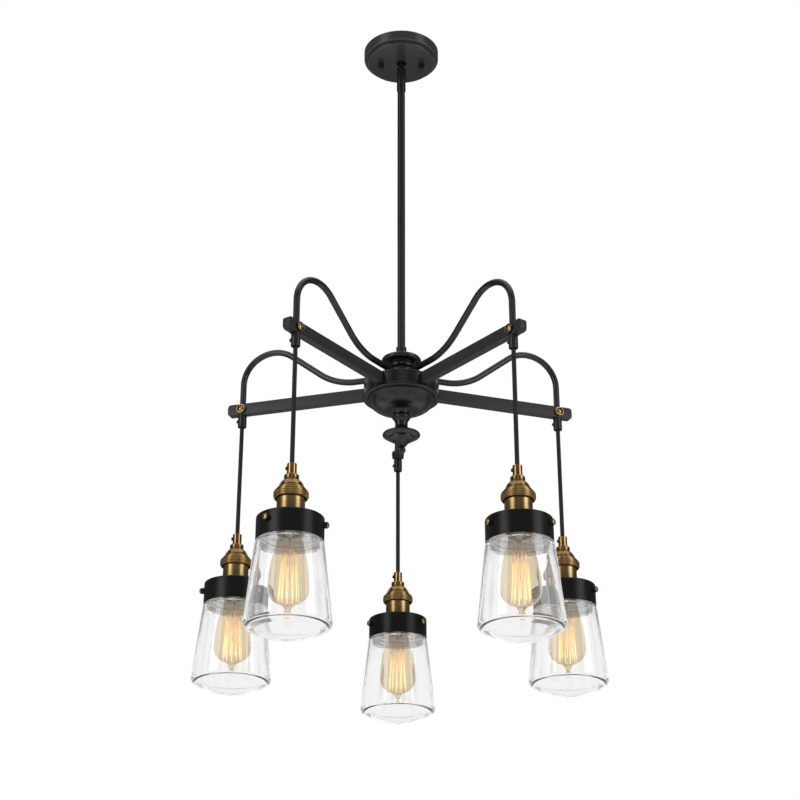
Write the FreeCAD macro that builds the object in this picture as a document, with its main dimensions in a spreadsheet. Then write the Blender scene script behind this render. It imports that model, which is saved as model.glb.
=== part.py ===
"""Five-arm pendant light: canopy and ball swivel, downrod, clamped hub, five arms with glass pendants.

Lengths are in millimetres. The origin is the middle of the ceiling plane, +Z points up, and every
level is a drop: a distance below the ceiling, counted downwards.
"""
import FreeCAD
import Part
import Sketcher
import math
import os

ARM_COUNT = 5
ARM_STEP = 360.0 / ARM_COUNT
FIRST_ARM_ANGLE = -54.0
CAP_BAND_COUNT = 4
CAP_RIDGE_COUNT = 3
FITTER_SCREW_COUNT = 3
FITTER_SCREW_TWISTS = (23.0, -47.0, -8.0, 22.0, -2.0)

# Driving dimensions, by the piece that they belong to
DIMENSIONS = {
    # Gaps between pieces that seat on each other, and between pieces that move
    "seat_gap": 0.1,
    "swing_gap": 0.3,
    # Canopy, its crossbar and the two screws with long cap nuts
    "canopy_room": 10.3,
    "canopy_wall": 1.2,
    "canopy_rim_depth": 17.0,
    "canopy_rim_round": 3.0,
    "canopy_step_width": 6.5,
    "canopy_boss_depth": 5.5,
    "canopy_boss_round": 2.0,
    "canopy_hole_radius": 8.5,
    "crossbar_end": 7.55,
    "crossbar_width": 20.0,
    "crossbar_thickness": 2.5,
    "box_screw_spacing": 88.9,
    "box_screw_hole_radius": 2.4,
    "canopy_screw_spacing": 69.85,
    "canopy_screw_radius": 2.0,
    "canopy_screw_grip": 7.0,
    "knob_radius": 4.9,
    "knob_length": 13.0,
    "knob_round": 1.0,
    # Ball swivel that lets the rod hang straight
    "ball_radius": 6.5,
    "liner_wall": 1.0,
    "liner_half_height": 4.4,
    "cup_wall": 2.4,
    "cup_round": 1.5,
    "cup_boss_radius": 6.5,
    "cup_wire_radius": 4.0,
    "cup_lip": 0.6,
    "stem_radius": 3.6,
    "stem_wire_radius": 2.0,
    "neck_room": 3.0,
    "neck_radius": 5.6,
    "neck_length": 6.5,
    "spigot_radius": 4.4,
    "spigot_length": 18.0,
    # Sleeve, downrod and ring nut
    "sleeve_wall": 1.15,
    "sleeve_length": 46.0,
    "sleeve_round": 2.2,
    "rod_radius": 6.35,
    "rod_wall": 1.4,
    "rod_insert": 28.0,
    "rod_seat": 17.0,
    "collar_wall": 1.9,
    "collar_height": 14.0,
    "collar_round": 1.5,
    # Hub spool that takes the rod and the conduits
    "spool_barrel_radius": 17.0,
    "spool_barrel_height": 19.0,
    "spool_bead_step": 4.5,
    "spool_taper_height": 7.0,
    "spool_bead_height": 6.0,
    "spool_shoulder_round": 2.0,
    "spool_cove_height": 3.0,
    "flange_overhang": 7.5,
    "flange_thickness": 9.0,
    "spool_boss_radius": 11.0,
    "spool_boss_height": 6.0,
    # Hub drum, bowl and the pipe that clamps them
    "drum_radius": 59.0,
    "drum_wall": 3.0,
    "drum_plate": 1.6,
    "drum_round": 1.2,
    "bowl_rim_overhang": 1.0,
    "bowl_rim_height": 6.0,
    "bowl_rim_round": 2.2,
    "bowl_step_width": 6.9,
    "bowl_step_height": 1.6,
    "bowl_depth": 24.5,
    "bowl_swell": 4.5,
    "bowl_wall": 2.2,
    "hub_pipe_radius": 5.0,
    "hub_pipe_wire_radius": 3.4,
    "hub_pipe_gap": 2.0,
    "hub_pipe_thread": 22.0,
    # Finial under the bowl
    "finial_ball_radius": 6.6,
    "finial_stalk_radius": 4.2,
    "finial_cone_radius": 7.0,
    "finial_cone_lip": 1.0,
    "finial_cone_height": 11.5,
    "finial_cone_hollow": 1.6,
    "saucer_step_radius": 20.0,
    "saucer_step_height": 2.6,
    "saucer_radius": 29.3,
    "saucer_dish_height": 2.4,
    "saucer_rim_round": 2.2,
    "saucer_slope_height": 12.0,
    "saucer_slope_hollow": 3.4,
    "finial_waist_radius": 10.0,
    "finial_waist_height": 7.0,
    "finial_ring_radius": 14.4,
    "finial_ring_inset": 2.0,
    "finial_ring_rise": 5.0,
    "finial_ring_round": 3.6,
    "finial_throat_radius": 12.0,
    "finial_base_height": 8.0,
    "finial_base_radius": 16.5,
    "finial_base_hollow": 1.4,
    # Arms
    "arm_drop": 640.0,
    "arm_height": 19.0,
    "arm_cheek": 0.95,
    "arm_reach": 266.0,
    "arm_overhang": 23.5,
    "arm_root": 22.0,
    "arm_end_round": 5.3,
    "arm_edge": 0.8,
    # Conduits that carry the wires from the spool over to the arm ends
    "conduit_radius": 5.0,
    "conduit_wall": 1.0,
    "conduit_foot_gap": 1.0,
    "conduit_rise": 35.5,
    "arch_radius": 50.5,
    "conduit_slope": 38.0,
    "sweep_radius": 97.0,
    "conduit_entry": 14.0,
    "conduit_root": 11.0,
    # Brass screws and cup washers on both sides of each arm
    "arm_screw_radius": 2.0,
    "arm_screw_head_radius": 4.2,
    "arm_screw_head_height": 2.6,
    "arm_screw_dome": 1.6,
    "arm_washer_wall": 2.05,
    "arm_washer_height": 2.4,
    "arm_washer_floor": 0.8,
    "arm_washer_room": 1.0,
    # Grips under the arms, and the cords
    "grip_lip": 2.1,
    "grip_length": 20.5,
    "grip_round": 1.2,
    "grip_spigot_length": 3.0,
    "mouth_depth": 3.0,
    "mouth_flare": 1.3,
    "wire_radius": 1.6,
    "cord_radius": 3.3,
    "cord_span": 187.0,
    # Brass clamp and socket cap
    "clamp_lip": 2.0,
    "clamp_length": 16.5,
    "clamp_round": 0.8,
    "cap_collar_radius": 10.6,
    "cap_collar_height": 8.0,
    "cap_collar_round": 2.0,
    "cap_dome_radius": 18.2,
    "cap_dome_height": 11.5,
    "cap_dome_swell": 1.6,
    "cap_ridge_rise": 2.2,
    "cap_ridge_swell": 0.5,
    "cap_band_rise": 1.9,
    "cap_lip_height": 0.4,
    "cap_skirt_room": 2.4,
    "cap_skirt_round": 1.4,
    "cap_skirt_wall": 1.6,
    "cap_skirt_hollow": 5.0,
    # Lamp holder: shell, insulating core and the ring that clamps the fitter
    "shell_radius": 19.6,
    "shell_wall": 1.0,
    "shell_insert": 11.0,
    "shell_show": 27.5,
    "shell_tail": 21.5,
    "shell_bead": 0.9,
    "shell_bead_height": 1.4,
    "core_inset": 4.0,
    "core_socket_depth": 27.0,
    "core_floor": 8.0,
    "fitter_ring_wall": 4.3,
    "fitter_ring_height": 6.0,
    "fitter_ring_round": 1.2,
    # Black fitter and its screws
    "fitter_radius": 47.0,
    "fitter_height": 34.0,
    "fitter_wall": 1.5,
    "fitter_round": 2.4,
    "fitter_screw_room": 1.0,
    "fitter_screw_radius": 2.0,
    "fitter_barrel_radius": 4.7,
    "fitter_barrel_length": 4.8,
    "fitter_button_radius": 4.1,
    "fitter_button_height": 2.2,
    "fitter_button_dome": 1.2,
    # Glass shade
    "glass_wall": 3.4,
    "glass_floor": 4.5,
    "glass_gap": 1.5,
    "glass_head_room": 5.0,
    "glass_lip_room": 0.8,
    "glass_lip": 1.3,
    "glass_lip_height": 3.0,
    "glass_shoulder_step": 4.6,
    "glass_shoulder_round": 2.0,
    "glass_foot_flare": 12.0,
    "glass_body_height": 113.0,
    "glass_foot_round": 8.0,
    "glass_foot_slope": 4.0,
    "glass_foot_land": 7.4,
    "glass_dome_depth": 11.5,
    # Bulb
    "bulb_length": 142.0,
    "bulb_radius": 28.8,
    "bulb_waist_height": 33.5,
    "bulb_shoulder_radius": 20.4,
    "bulb_neck_height": 25.5,
    "bulb_neck_inset": 0.2,
    "bulb_tip_radius": 4.2,
    "bulb_tip_height": 3.5,
    "bulb_cheek_radius": 10.5,
    "bulb_cheek_height": 11.0,
    "bulb_cheek_hollow": 0.5,
    "bulb_glass_wall": 1.0,
    "bulb_base_radius": 13.2,
    "bulb_base_length": 26.0,
    "bulb_contact_radius": 5.0,
    "bulb_contact_slope": 5.0,
    "bulb_stem_room": 2.0,
    "bulb_stem_flare": 20.0,
    "bulb_post_radius": 1.7,
    "bulb_post_length": 52.0,
}

doc = FreeCAD.newDocument("PendantLight")
sheet = doc.addObject("Spreadsheet::Sheet", "Sizes")


class Size:
    """A length with its present value and the formula that ties it to the sheet."""

    def __init__(self, value, formula):
        self.value = value
        self.formula = formula

    def __add__(self, other):
        other = as_size(other)
        return Size(self.value + other.value, f"({self.formula} + {other.formula})")

    def __sub__(self, other):
        other = as_size(other)
        return Size(self.value - other.value, f"({self.formula} - {other.formula})")

    def __mul__(self, other):
        other = as_size(other)
        return Size(self.value * other.value, f"({self.formula} * {other.formula})")

    def __truediv__(self, other):
        other = as_size(other)
        return Size(self.value / other.value, f"({self.formula} / {other.formula})")

    def __neg__(self):
        return Size(-self.value, f"(0 - {self.formula})")


def as_size(number):
    """A Size as it is, or a plain number as a Size."""
    if isinstance(number, Size):
        return number
    return Size(float(number), f"({float(number):.9f})")


def root(size):
    """The square root of a Size."""
    return Size(math.sqrt(size.value), f"sqrt({size.formula})")


def least(first, second):
    """The smaller of two Sizes."""
    return Size(min(first.value, second.value), f"min({first.formula}; {second.formula})")


def half_chord(radius, distance):
    """How far a circle reaches sideways, at a distance from its centre."""
    return root(radius * radius - distance * distance)


def tangent_radius(along, across):
    """The radius of an arc that leaves along one direction and ends this far along and across it."""
    return (along * along + across * across) / (across * 2)


def swell_radius(start, end, swell):
    """The radius of an arc between two points whose middle stands this far off their chord."""
    wide = end[0] - start[0]
    high = end[1] - start[1]
    return ((wide * wide + high * high) / 4 + swell * swell) / (swell * 2)


# The sheet's rows, and one Size for each
sizes = {}
for row, (alias, number) in enumerate(DIMENSIONS.items(), start=1):
    sheet.set(f"A{row}", alias)
    sheet.set(f"B{row}", str(number))
    sheet.setAlias(f"B{row}", alias)
    sizes[alias] = Size(number, f"Sizes.{alias}")
doc.recompute()

ZERO = as_size(0.0)


class Bend:
    """A point reached by an arc, which bulges to the right of the way, or to the left if swelling is -1."""

    def __init__(self, point, radius, swelling=1):
        self.point = point
        self.radius = radius
        self.swelling = swelling


def plane_of(body, role):
    """One of a body's own origin planes or axes."""
    return [item for item in body.Origin.OriginFeatures if item.Role == role][0]


def new_sketch(body, name, role):
    """An empty sketch on one of the body's origin planes."""
    sketch = body.newObject("Sketcher::SketchObject", name)
    sketch.AttachmentSupport = (plane_of(body, role), [""])
    sketch.MapMode = "FlatFace"
    return sketch


def bind(sketch, constraint, size):
    """Adds a constraint whose value follows a Size."""
    index = sketch.addConstraint(constraint)
    sketch.setExpression(f"Constraints[{index}]", size.formula)


def pin_point(sketch, edge, end, point):
    """Holds one end of an edge at a point of the sketch, counted from its origin."""
    across, up = point
    if across is ZERO:
        sketch.addConstraint(Sketcher.Constraint("PointOnObject", edge, end, -2))
    else:
        bind(sketch, Sketcher.Constraint("DistanceX", -1, 1, edge, end, across.value), across)
    if up is ZERO:
        sketch.addConstraint(Sketcher.Constraint("PointOnObject", edge, end, -1))
    else:
        bind(sketch, Sketcher.Constraint("DistanceY", -1, 1, edge, end, up.value), up)


def arc_between(start, end, radius, swelling):
    """The shorter arc of a radius between two points, and whether it runs from start to end."""
    chord = end - start
    middle = (start + end) / 2
    left = FreeCAD.Vector(-chord.y, chord.x, 0).normalize()
    off = math.sqrt(max(radius * radius - chord.Length ** 2 / 4, 0.0))
    centre = middle + left * off * swelling
    circle = Part.Circle(centre, FreeCAD.Vector(0, 0, 1), radius)
    forward = swelling > 0
    first, last = (start, end) if forward else (end, start)
    first_angle = math.atan2(first.y - centre.y, first.x - centre.x)
    last_angle = math.atan2(last.y - centre.y, last.x - centre.x)
    if last_angle < first_angle:
        last_angle += 2 * math.pi
    return Part.ArcOfCircle(circle, first_angle, last_angle), forward


def draw_outline(sketch, outline):
    """A closed outline of straight runs and arcs, with every corner tied to the sheet.

    A Bend in the first place is the arc that closes the outline.
    """
    corners = [step.point if isinstance(step, Bend) else step for step in outline]
    ends = []
    for index, corner in enumerate(corners):
        following = (index + 1) % len(corners)
        start = FreeCAD.Vector(corner[0].value, corner[1].value, 0)
        end = FreeCAD.Vector(corners[following][0].value, corners[following][1].value, 0)
        step = outline[following]
        if isinstance(step, Bend):
            arc, forward = arc_between(start, end, step.radius.value, step.swelling)
            edge = sketch.addGeometry(arc)
            bind(sketch, Sketcher.Constraint("Radius", edge, step.radius.value), step.radius)
            ends.append((edge, 1, 2) if forward else (edge, 2, 1))
        else:
            edge = sketch.addGeometry(Part.LineSegment(start, end))
            ends.append((edge, 1, 2))
    for index, corner in enumerate(corners):
        edge, first, last = ends[index]
        before, before_first, before_last = ends[index - 1]
        sketch.addConstraint(Sketcher.Constraint("Coincident", before, before_last, edge, first))
        pin_point(sketch, edge, first, corner)


def draw_circle(sketch, across, up, radius):
    """A circle tied to the sheet by its centre and radius."""
    middle = FreeCAD.Vector(across.value, up.value, 0)
    edge = sketch.addGeometry(Part.Circle(middle, FreeCAD.Vector(0, 0, 1), radius.value))
    bind(sketch, Sketcher.Constraint("Radius", edge, radius.value), radius)
    pin_point(sketch, edge, 3, (across, up))


def place(body, position, rotation=None):
    """Puts a body at a position that follows the sheet."""
    spot = FreeCAD.Vector(*[coordinate.value for coordinate in position])
    body.Placement = FreeCAD.Placement(spot, rotation or FreeCAD.Rotation())
    for axis, coordinate in zip("xyz", position):
        if coordinate is not ZERO:
            body.setExpression(f"Placement.Base.{axis}", coordinate.formula)


def about_z(angle):
    """A turn about the vertical, in degrees."""
    return FreeCAD.Rotation(FreeCAD.Vector(0, 0, 1), angle)


def at_arm(angle, out, across, drop):
    """The position that lies out along an arm, across it and below the ceiling."""
    cosine = math.cos(math.radians(angle))
    sine = math.sin(math.radians(angle))
    return (out * cosine - across * sine, out * sine + across * cosine, -drop)


def facing(angle):
    """The turn that points a piece's own axis sideways, towards an angle about the vertical."""
    heading = FreeCAD.Vector(math.cos(math.radians(angle)), math.sin(math.radians(angle)), 0)
    return FreeCAD.Rotation(FreeCAD.Vector(0, 0, 1), heading)


def new_body(label):
    """An empty body with its own label."""
    body = doc.addObject("PartDesign::Body", label)
    body.Label = label
    return body


def turned(label, outline, position, rotation=None):
    """A lathe-turned piece: an outline of radius and height, spun about the vertical."""
    body = new_body(label)
    sketch = new_sketch(body, f"{label}_outline", "XZ_Plane")
    draw_outline(sketch, outline)
    spin = body.newObject("PartDesign::Revolution", f"{label}_spin")
    spin.Profile = sketch
    spin.ReferenceAxis = (sketch, ["V_Axis"])
    spin.Angle = 360.0
    place(body, position, rotation)
    doc.recompute()
    return body


def cut_through(body, name, role, shapes, two_sided=True):
    """Cuts circles or outlines of a sketch right through a body, to both sides or to one."""
    sketch = new_sketch(body, f"{name}_sketch", role)
    for shape in shapes:
        if isinstance(shape, list):
            draw_outline(sketch, shape)
        else:
            draw_circle(sketch, *shape)
    doc.recompute()
    before = body.Shape.Volume
    pocket = body.newObject("PartDesign::Pocket", name)
    pocket.Profile = sketch
    pocket.Type = "ThroughAll"
    pocket.Midplane = two_sided
    pocket.Reversed = not two_sided
    doc.recompute()
    if body.Shape.Volume >= before:
        raise RuntimeError(f"{name} cuts nothing")
    return pocket


def repeat_around(body, feature, count):
    """Repeats a cut evenly about the body's own axis."""
    pattern = body.newObject("PartDesign::PolarPattern", f"{feature.Name}_pattern")
    pattern.Originals = [feature]
    pattern.Axis = (plane_of(body, "Z_Axis"), [""])
    pattern.Angle = 360.0
    pattern.Occurrences = count
    body.Tip = pattern
    doc.recompute()
    return pattern


def gathered(label, members):
    """One node of several separate solids."""
    group = doc.addObject("Part::Compound", label)
    group.Label = label
    group.Links = members
    return group


# Short names for what many pieces share
S = sizes
seat_gap = S["seat_gap"]
swing_gap = S["swing_gap"]

# Radii and widths that several pieces share
bar_end = S["box_screw_spacing"] / 2 + S["crossbar_end"]
canopy_inside = bar_end + S["canopy_room"]
cup_mouth = S["ball_radius"] - S["cup_lip"]
rod_bore = S["rod_radius"] + seat_gap
pipe_bore = S["hub_pipe_radius"] + seat_gap
conduit_bore = S["conduit_radius"] + seat_gap
arm_thickness = (conduit_bore + S["arm_cheek"]) * 2
cord_pocket = S["cord_radius"] + swing_gap
cord_mouth = cord_pocket + S["mouth_flare"]
shell_bore = S["shell_radius"] + seat_gap
glass_lip_radius = S["fitter_radius"] - S["fitter_wall"] - S["glass_lip_room"]
glass_neck_radius = glass_lip_radius - S["glass_lip"]

# Levels that several pieces share, as drops below the ceiling
canopy_depth = S["canopy_rim_depth"] + S["canopy_boss_depth"]
cup_cavity = S["ball_radius"] + swing_gap + S["liner_wall"] + swing_gap
ball_below_bar = half_chord(cup_cavity, S["cup_wire_radius"])
ball_above_mouth = half_chord(cup_cavity, cup_mouth)
ball_drop = S["crossbar_thickness"] + ball_below_bar
neck_top = canopy_depth + S["neck_room"]
sleeve_top = neck_top + S["neck_length"]
sleeve_bottom = sleeve_top + S["sleeve_length"]
rod_top = sleeve_bottom - S["rod_insert"]
arm_top = S["arm_drop"] - S["arm_height"] / 2
arm_bottom = S["arm_drop"] + S["arm_height"] / 2
drum_top = arm_top - S["drum_plate"]
spool_bead_bottom = S["spool_barrel_height"] + S["spool_taper_height"]
spool_bead_top = spool_bead_bottom + S["spool_bead_height"]
flange_bottom = spool_bead_top + S["spool_cove_height"]
flange_top = flange_bottom + S["flange_thickness"]
spool_height = flange_top + S["spool_boss_height"]
spool_top = drum_top - spool_height
rod_bottom = spool_top + S["rod_seat"]
bowl_bottom = arm_bottom + S["bowl_depth"]
conduit_seat = S["arm_height"] - S["grip_spigot_length"] - S["conduit_foot_gap"]
grip_bottom = arm_bottom + S["grip_length"]
cord_top = grip_bottom - S["mouth_depth"]
cord_foot = cord_top + S["cord_span"]
clamp_top = cord_foot - S["mouth_depth"]
clamp_bottom = clamp_top + S["clamp_length"]
cap_ridges_height = S["cap_ridge_rise"] * CAP_RIDGE_COUNT
cap_skirt_round = least(S["cap_skirt_round"], S["cap_skirt_wall"] - seat_gap)
cap_band_foot = cap_skirt_round + S["cap_lip_height"]
cap_band_top = cap_band_foot + S["cap_band_rise"] * CAP_BAND_COUNT
cap_skirt_top = cap_band_top + cap_ridges_height
cap_dome_top = cap_skirt_top + S["cap_dome_height"]
cap_height = cap_dome_top + S["cap_collar_height"]
cap_bottom = clamp_bottom + cap_height
fitter_top = cap_bottom + S["shell_show"]
fitter_bottom = fitter_top + S["fitter_height"]
shell_top = cap_bottom - S["shell_insert"]
shell_bottom = fitter_top + S["shell_tail"]
core_bottom = shell_bottom - S["core_inset"]
bulb_top = core_bottom - S["core_socket_depth"] + swing_gap
bulb_tip = bulb_top + S["bulb_length"]
glass_top = fitter_top + S["fitter_wall"] + S["glass_head_room"]
fitter_screw_level = glass_top + S["glass_lip_height"] + S["fitter_screw_room"] + S["fitter_screw_radius"]
glass_shoulder = fitter_bottom + S["glass_gap"]
glass_foot = glass_shoulder + S["glass_body_height"]
glass_bottom = glass_foot + S["glass_foot_round"] + S["glass_foot_slope"] + S["glass_dome_depth"]


def on_axis(drop):
    """A position on the middle line, below the ceiling."""
    return (ZERO, ZERO, -drop)


def under_arm(angle, drop):
    """A position on a pendant's axis, below the ceiling."""
    return at_arm(angle, S["arm_reach"], ZERO, drop)


def make_canopy():
    """Round stepped cover, open at the ceiling, with a hole for the swivel and two for its screws."""
    wall = S["canopy_wall"]
    radius = canopy_inside + wall
    boss = radius - S["canopy_step_width"]
    boss_round = S["canopy_boss_round"]
    rim_round = S["canopy_rim_round"]
    step = S["canopy_boss_depth"]
    outline = [
        (S["canopy_hole_radius"], ZERO),
        (boss - boss_round, ZERO),
        Bend((boss, boss_round), boss_round),
        (boss, step),
        (radius - rim_round, step),
        Bend((radius, step + rim_round), rim_round),
        (radius, canopy_depth),
        (radius - wall, canopy_depth),
        (radius - wall, step + rim_round),
        Bend((radius - rim_round, step + wall), rim_round - wall, -1),
        (boss - wall, step + wall),
        (boss - wall, boss_round),
        Bend((boss - boss_round, wall), boss_round - wall, -1),
        (S["canopy_hole_radius"], wall),
    ]
    canopy = turned("canopy", outline, on_axis(canopy_depth))
    hole = S["canopy_screw_radius"] + swing_gap
    away = S["canopy_screw_spacing"] / 2
    pocket = cut_through(canopy, "canopy_screw_hole", "XY_Plane", [(away, ZERO, hole)])
    repeat_around(canopy, pocket, 2)
    return canopy


def make_crossbar():
    """Flat bar with round ends, holed for the ceiling box, the canopy's screws and the swivel."""
    body = new_body("crossbar")
    sketch = new_sketch(body, "crossbar_outline", "XY_Plane")
    side = S["crossbar_width"] / 2
    straight = bar_end - side
    up = FreeCAD.Vector(0, 0, 1)
    lower_left = FreeCAD.Vector(-straight.value, -side.value, 0)
    lower_right = FreeCAD.Vector(straight.value, -side.value, 0)
    right_end = Part.Circle(FreeCAD.Vector(straight.value, 0, 0), up, side.value)
    left_end = Part.Circle(FreeCAD.Vector(-straight.value, 0, 0), up, side.value)
    lower = sketch.addGeometry(Part.LineSegment(lower_left, lower_right))
    right = sketch.addGeometry(Part.ArcOfCircle(right_end, -math.pi / 2, math.pi / 2))
    upper = sketch.addGeometry(Part.LineSegment(-lower_left, -lower_right))
    left = sketch.addGeometry(Part.ArcOfCircle(left_end, math.pi / 2, 3 * math.pi / 2))
    for first, second in ((lower, right), (right, upper), (upper, left), (left, lower)):
        sketch.addConstraint(Sketcher.Constraint("Tangent", first, 2, second, 1))
    sketch.addConstraint(Sketcher.Constraint("Symmetric", right, 3, left, 3, -1, 1))
    sketch.addConstraint(Sketcher.Constraint("Horizontal", lower))
    bind(sketch, Sketcher.Constraint("Radius", right, side.value), side)
    bind(sketch, Sketcher.Constraint("DistanceX", -1, 1, right, 3, straight.value), straight)
    pad = body.newObject("PartDesign::Pad", "crossbar_pad")
    pad.Profile = sketch
    pad.setExpression("Length", S["crossbar_thickness"].formula)
    place(body, on_axis(S["crossbar_thickness"]))
    doc.recompute()
    cut_through(body, "swivel_hole", "XY_Plane", [(ZERO, ZERO, S["cup_boss_radius"] + seat_gap)])
    away_holes = (
        ("canopy_thread", S["canopy_screw_spacing"] / 2, S["canopy_screw_radius"] + seat_gap),
        ("box_screw_hole", S["box_screw_spacing"] / 2, S["box_screw_hole_radius"]),
    )
    for name, away, radius in away_holes:
        pocket = cut_through(body, name, "XY_Plane", [(away, ZERO, radius)])
        repeat_around(body, pocket, 2)
    return body


def make_canopy_screws():
    """Two studs down from the crossbar, and the long cap nuts that hold the canopy up."""
    stud_length = canopy_depth + S["canopy_screw_grip"]
    stud = S["canopy_screw_radius"]
    knob = S["knob_radius"]
    knob_round = S["knob_round"]
    bore = stud + seat_gap
    bore_floor = S["knob_length"] - S["canopy_screw_grip"] - seat_gap
    away = S["canopy_screw_spacing"] / 2
    studs = []
    knobs = []
    for number, spot in enumerate((away, -away), start=1):
        stud_outline = [(ZERO, ZERO), (stud, ZERO), (stud, stud_length), (ZERO, stud_length)]
        studs.append(turned(f"canopy_screw_{number}", stud_outline, (spot, ZERO, -stud_length)))
        knob_outline = [
            (ZERO, ZERO),
            (knob - knob_round, ZERO),
            Bend((knob, knob_round), knob_round),
            (knob, S["knob_length"]),
            (bore, S["knob_length"]),
            (bore, bore_floor),
            (ZERO, bore_floor),
        ]
        knob_foot = canopy_depth + S["knob_length"]
        knobs.append(turned(f"canopy_knob_{number}", knob_outline, (spot, ZERO, -knob_foot)))
    return gathered("canopy_screws", studs), gathered("canopy_knobs", knobs)


def make_swivel():
    """Cup under the crossbar, ring-shaped liner, and ball with its hollow stem."""
    cup_radius = cup_cavity + S["cup_wall"]
    cup_height = ball_above_mouth + ball_below_bar
    boss_top = cup_height + S["crossbar_thickness"]
    cup_round = S["cup_round"]
    cup_outline = [
        Bend((cup_mouth, ZERO), cup_cavity, -1),
        (cup_radius - cup_round, ZERO),
        Bend((cup_radius, cup_round), cup_round),
        (cup_radius, cup_height),
        (S["cup_boss_radius"], cup_height),
        (S["cup_boss_radius"], boss_top),
        (S["cup_wire_radius"], boss_top),
        (S["cup_wire_radius"], cup_height),
    ]
    cup = turned("swivel_cup", cup_outline, on_axis(S["crossbar_thickness"] + cup_height))

    half = S["liner_half_height"]
    inner = S["ball_radius"] + swing_gap
    outer = inner + S["liner_wall"]
    liner_outline = [
        Bend((half_chord(inner, half), ZERO), inner, -1),
        (half_chord(outer, half), ZERO),
        Bend((half_chord(outer, half), half * 2), outer),
        (half_chord(inner, half), half * 2),
    ]
    liner = turned("swivel_liner", liner_outline, on_axis(ball_drop + half))

    spigot_foot = sleeve_top + S["spigot_length"]
    neck_foot = S["spigot_length"]
    neck_head = neck_foot + S["neck_length"]
    centre = spigot_foot - ball_drop
    ball_foot = centre - half_chord(S["ball_radius"], S["stem_radius"])
    ball_head = centre + half_chord(S["ball_radius"], S["stem_wire_radius"])
    ball_outline = [
        (S["stem_wire_radius"], ZERO),
        (S["spigot_radius"], ZERO),
        (S["spigot_radius"], neck_foot),
        (S["neck_radius"], neck_foot),
        (S["neck_radius"], neck_head),
        (S["stem_radius"], neck_head),
        (S["stem_radius"], ball_foot),
        Bend((S["stem_wire_radius"], ball_head), S["ball_radius"]),
    ]
    ball = turned("swivel_ball", ball_outline, on_axis(spigot_foot))
    return cup, liner, ball


def make_rod():
    """Sleeve under the swivel, plain downrod, and the ring nut on the hub."""
    sleeve = rod_bore + S["sleeve_wall"]
    spigot_bore = S["spigot_radius"] + seat_gap
    sleeve_round = least(S["sleeve_round"], sleeve - spigot_bore - seat_gap)
    sleeve_outline = [
        (rod_bore, ZERO),
        (sleeve, ZERO),
        (sleeve, S["sleeve_length"] - sleeve_round),
        Bend((sleeve - sleeve_round, S["sleeve_length"]), sleeve_round),
        (spigot_bore, S["sleeve_length"]),
        (spigot_bore, S["rod_insert"]),
        (rod_bore, S["rod_insert"]),
    ]
    rod_sleeve = turned("rod_sleeve", sleeve_outline, on_axis(sleeve_bottom))
    rod = S["rod_radius"]
    rod_inside = rod - S["rod_wall"]
    rod_length = rod_bottom - rod_top
    rod_outline = [(rod_inside, ZERO), (rod, ZERO), (rod, rod_length), (rod_inside, rod_length)]
    downrod = turned("downrod", rod_outline, on_axis(rod_bottom))
    collar = rod_bore + S["collar_wall"]
    collar_round = S["collar_round"]
    collar_outline = [
        (rod_bore, ZERO),
        (collar, ZERO),
        (collar, S["collar_height"] - collar_round),
        Bend((collar - collar_round, S["collar_height"]), collar_round),
        (rod_bore, S["collar_height"]),
    ]
    rod_collar = turned("rod_collar", collar_outline, on_axis(spool_top))
    return rod_sleeve, downrod, rod_collar


def make_spool():
    """Flanged spool on the drum: the rod seats in its top, and the conduits plug into its barrel."""
    barrel = S["spool_barrel_radius"]
    bead = barrel + S["spool_bead_step"]
    shoulder_round = S["spool_shoulder_round"]
    throat = bead - shoulder_round
    flange_round = S["flange_thickness"] / 2
    flange = throat + S["flange_overhang"] + flange_round
    rod_floor = spool_height - S["rod_seat"]
    taper_hollow = tangent_radius(S["spool_taper_height"], S["spool_bead_step"])
    outline = [
        (pipe_bore, ZERO),
        (barrel, ZERO),
        (barrel, S["spool_barrel_height"]),
        Bend((bead, spool_bead_bottom), taper_hollow, -1),
        (bead, spool_bead_top - shoulder_round),
        Bend((throat, spool_bead_top), shoulder_round),
        (throat, flange_bottom),
        (flange - flange_round, flange_bottom),
        Bend((flange, flange_bottom + flange_round), flange_round),
        Bend((flange - flange_round, flange_top), flange_round),
        (S["spool_boss_radius"], flange_top),
        (S["spool_boss_radius"], spool_height),
        (rod_bore, spool_height),
        (rod_bore, rod_floor),
        (pipe_bore, rod_floor),
    ]
    spool = turned("hub_spool", outline, on_axis(drum_top), about_z(FIRST_ARM_ANGLE))
    hole = [(ZERO, S["conduit_entry"], conduit_bore)]
    pocket = cut_through(spool, "conduit_hole", "YZ_Plane", hole, two_sided=False)
    repeat_around(spool, pocket, ARM_COUNT)
    return spool


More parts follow.
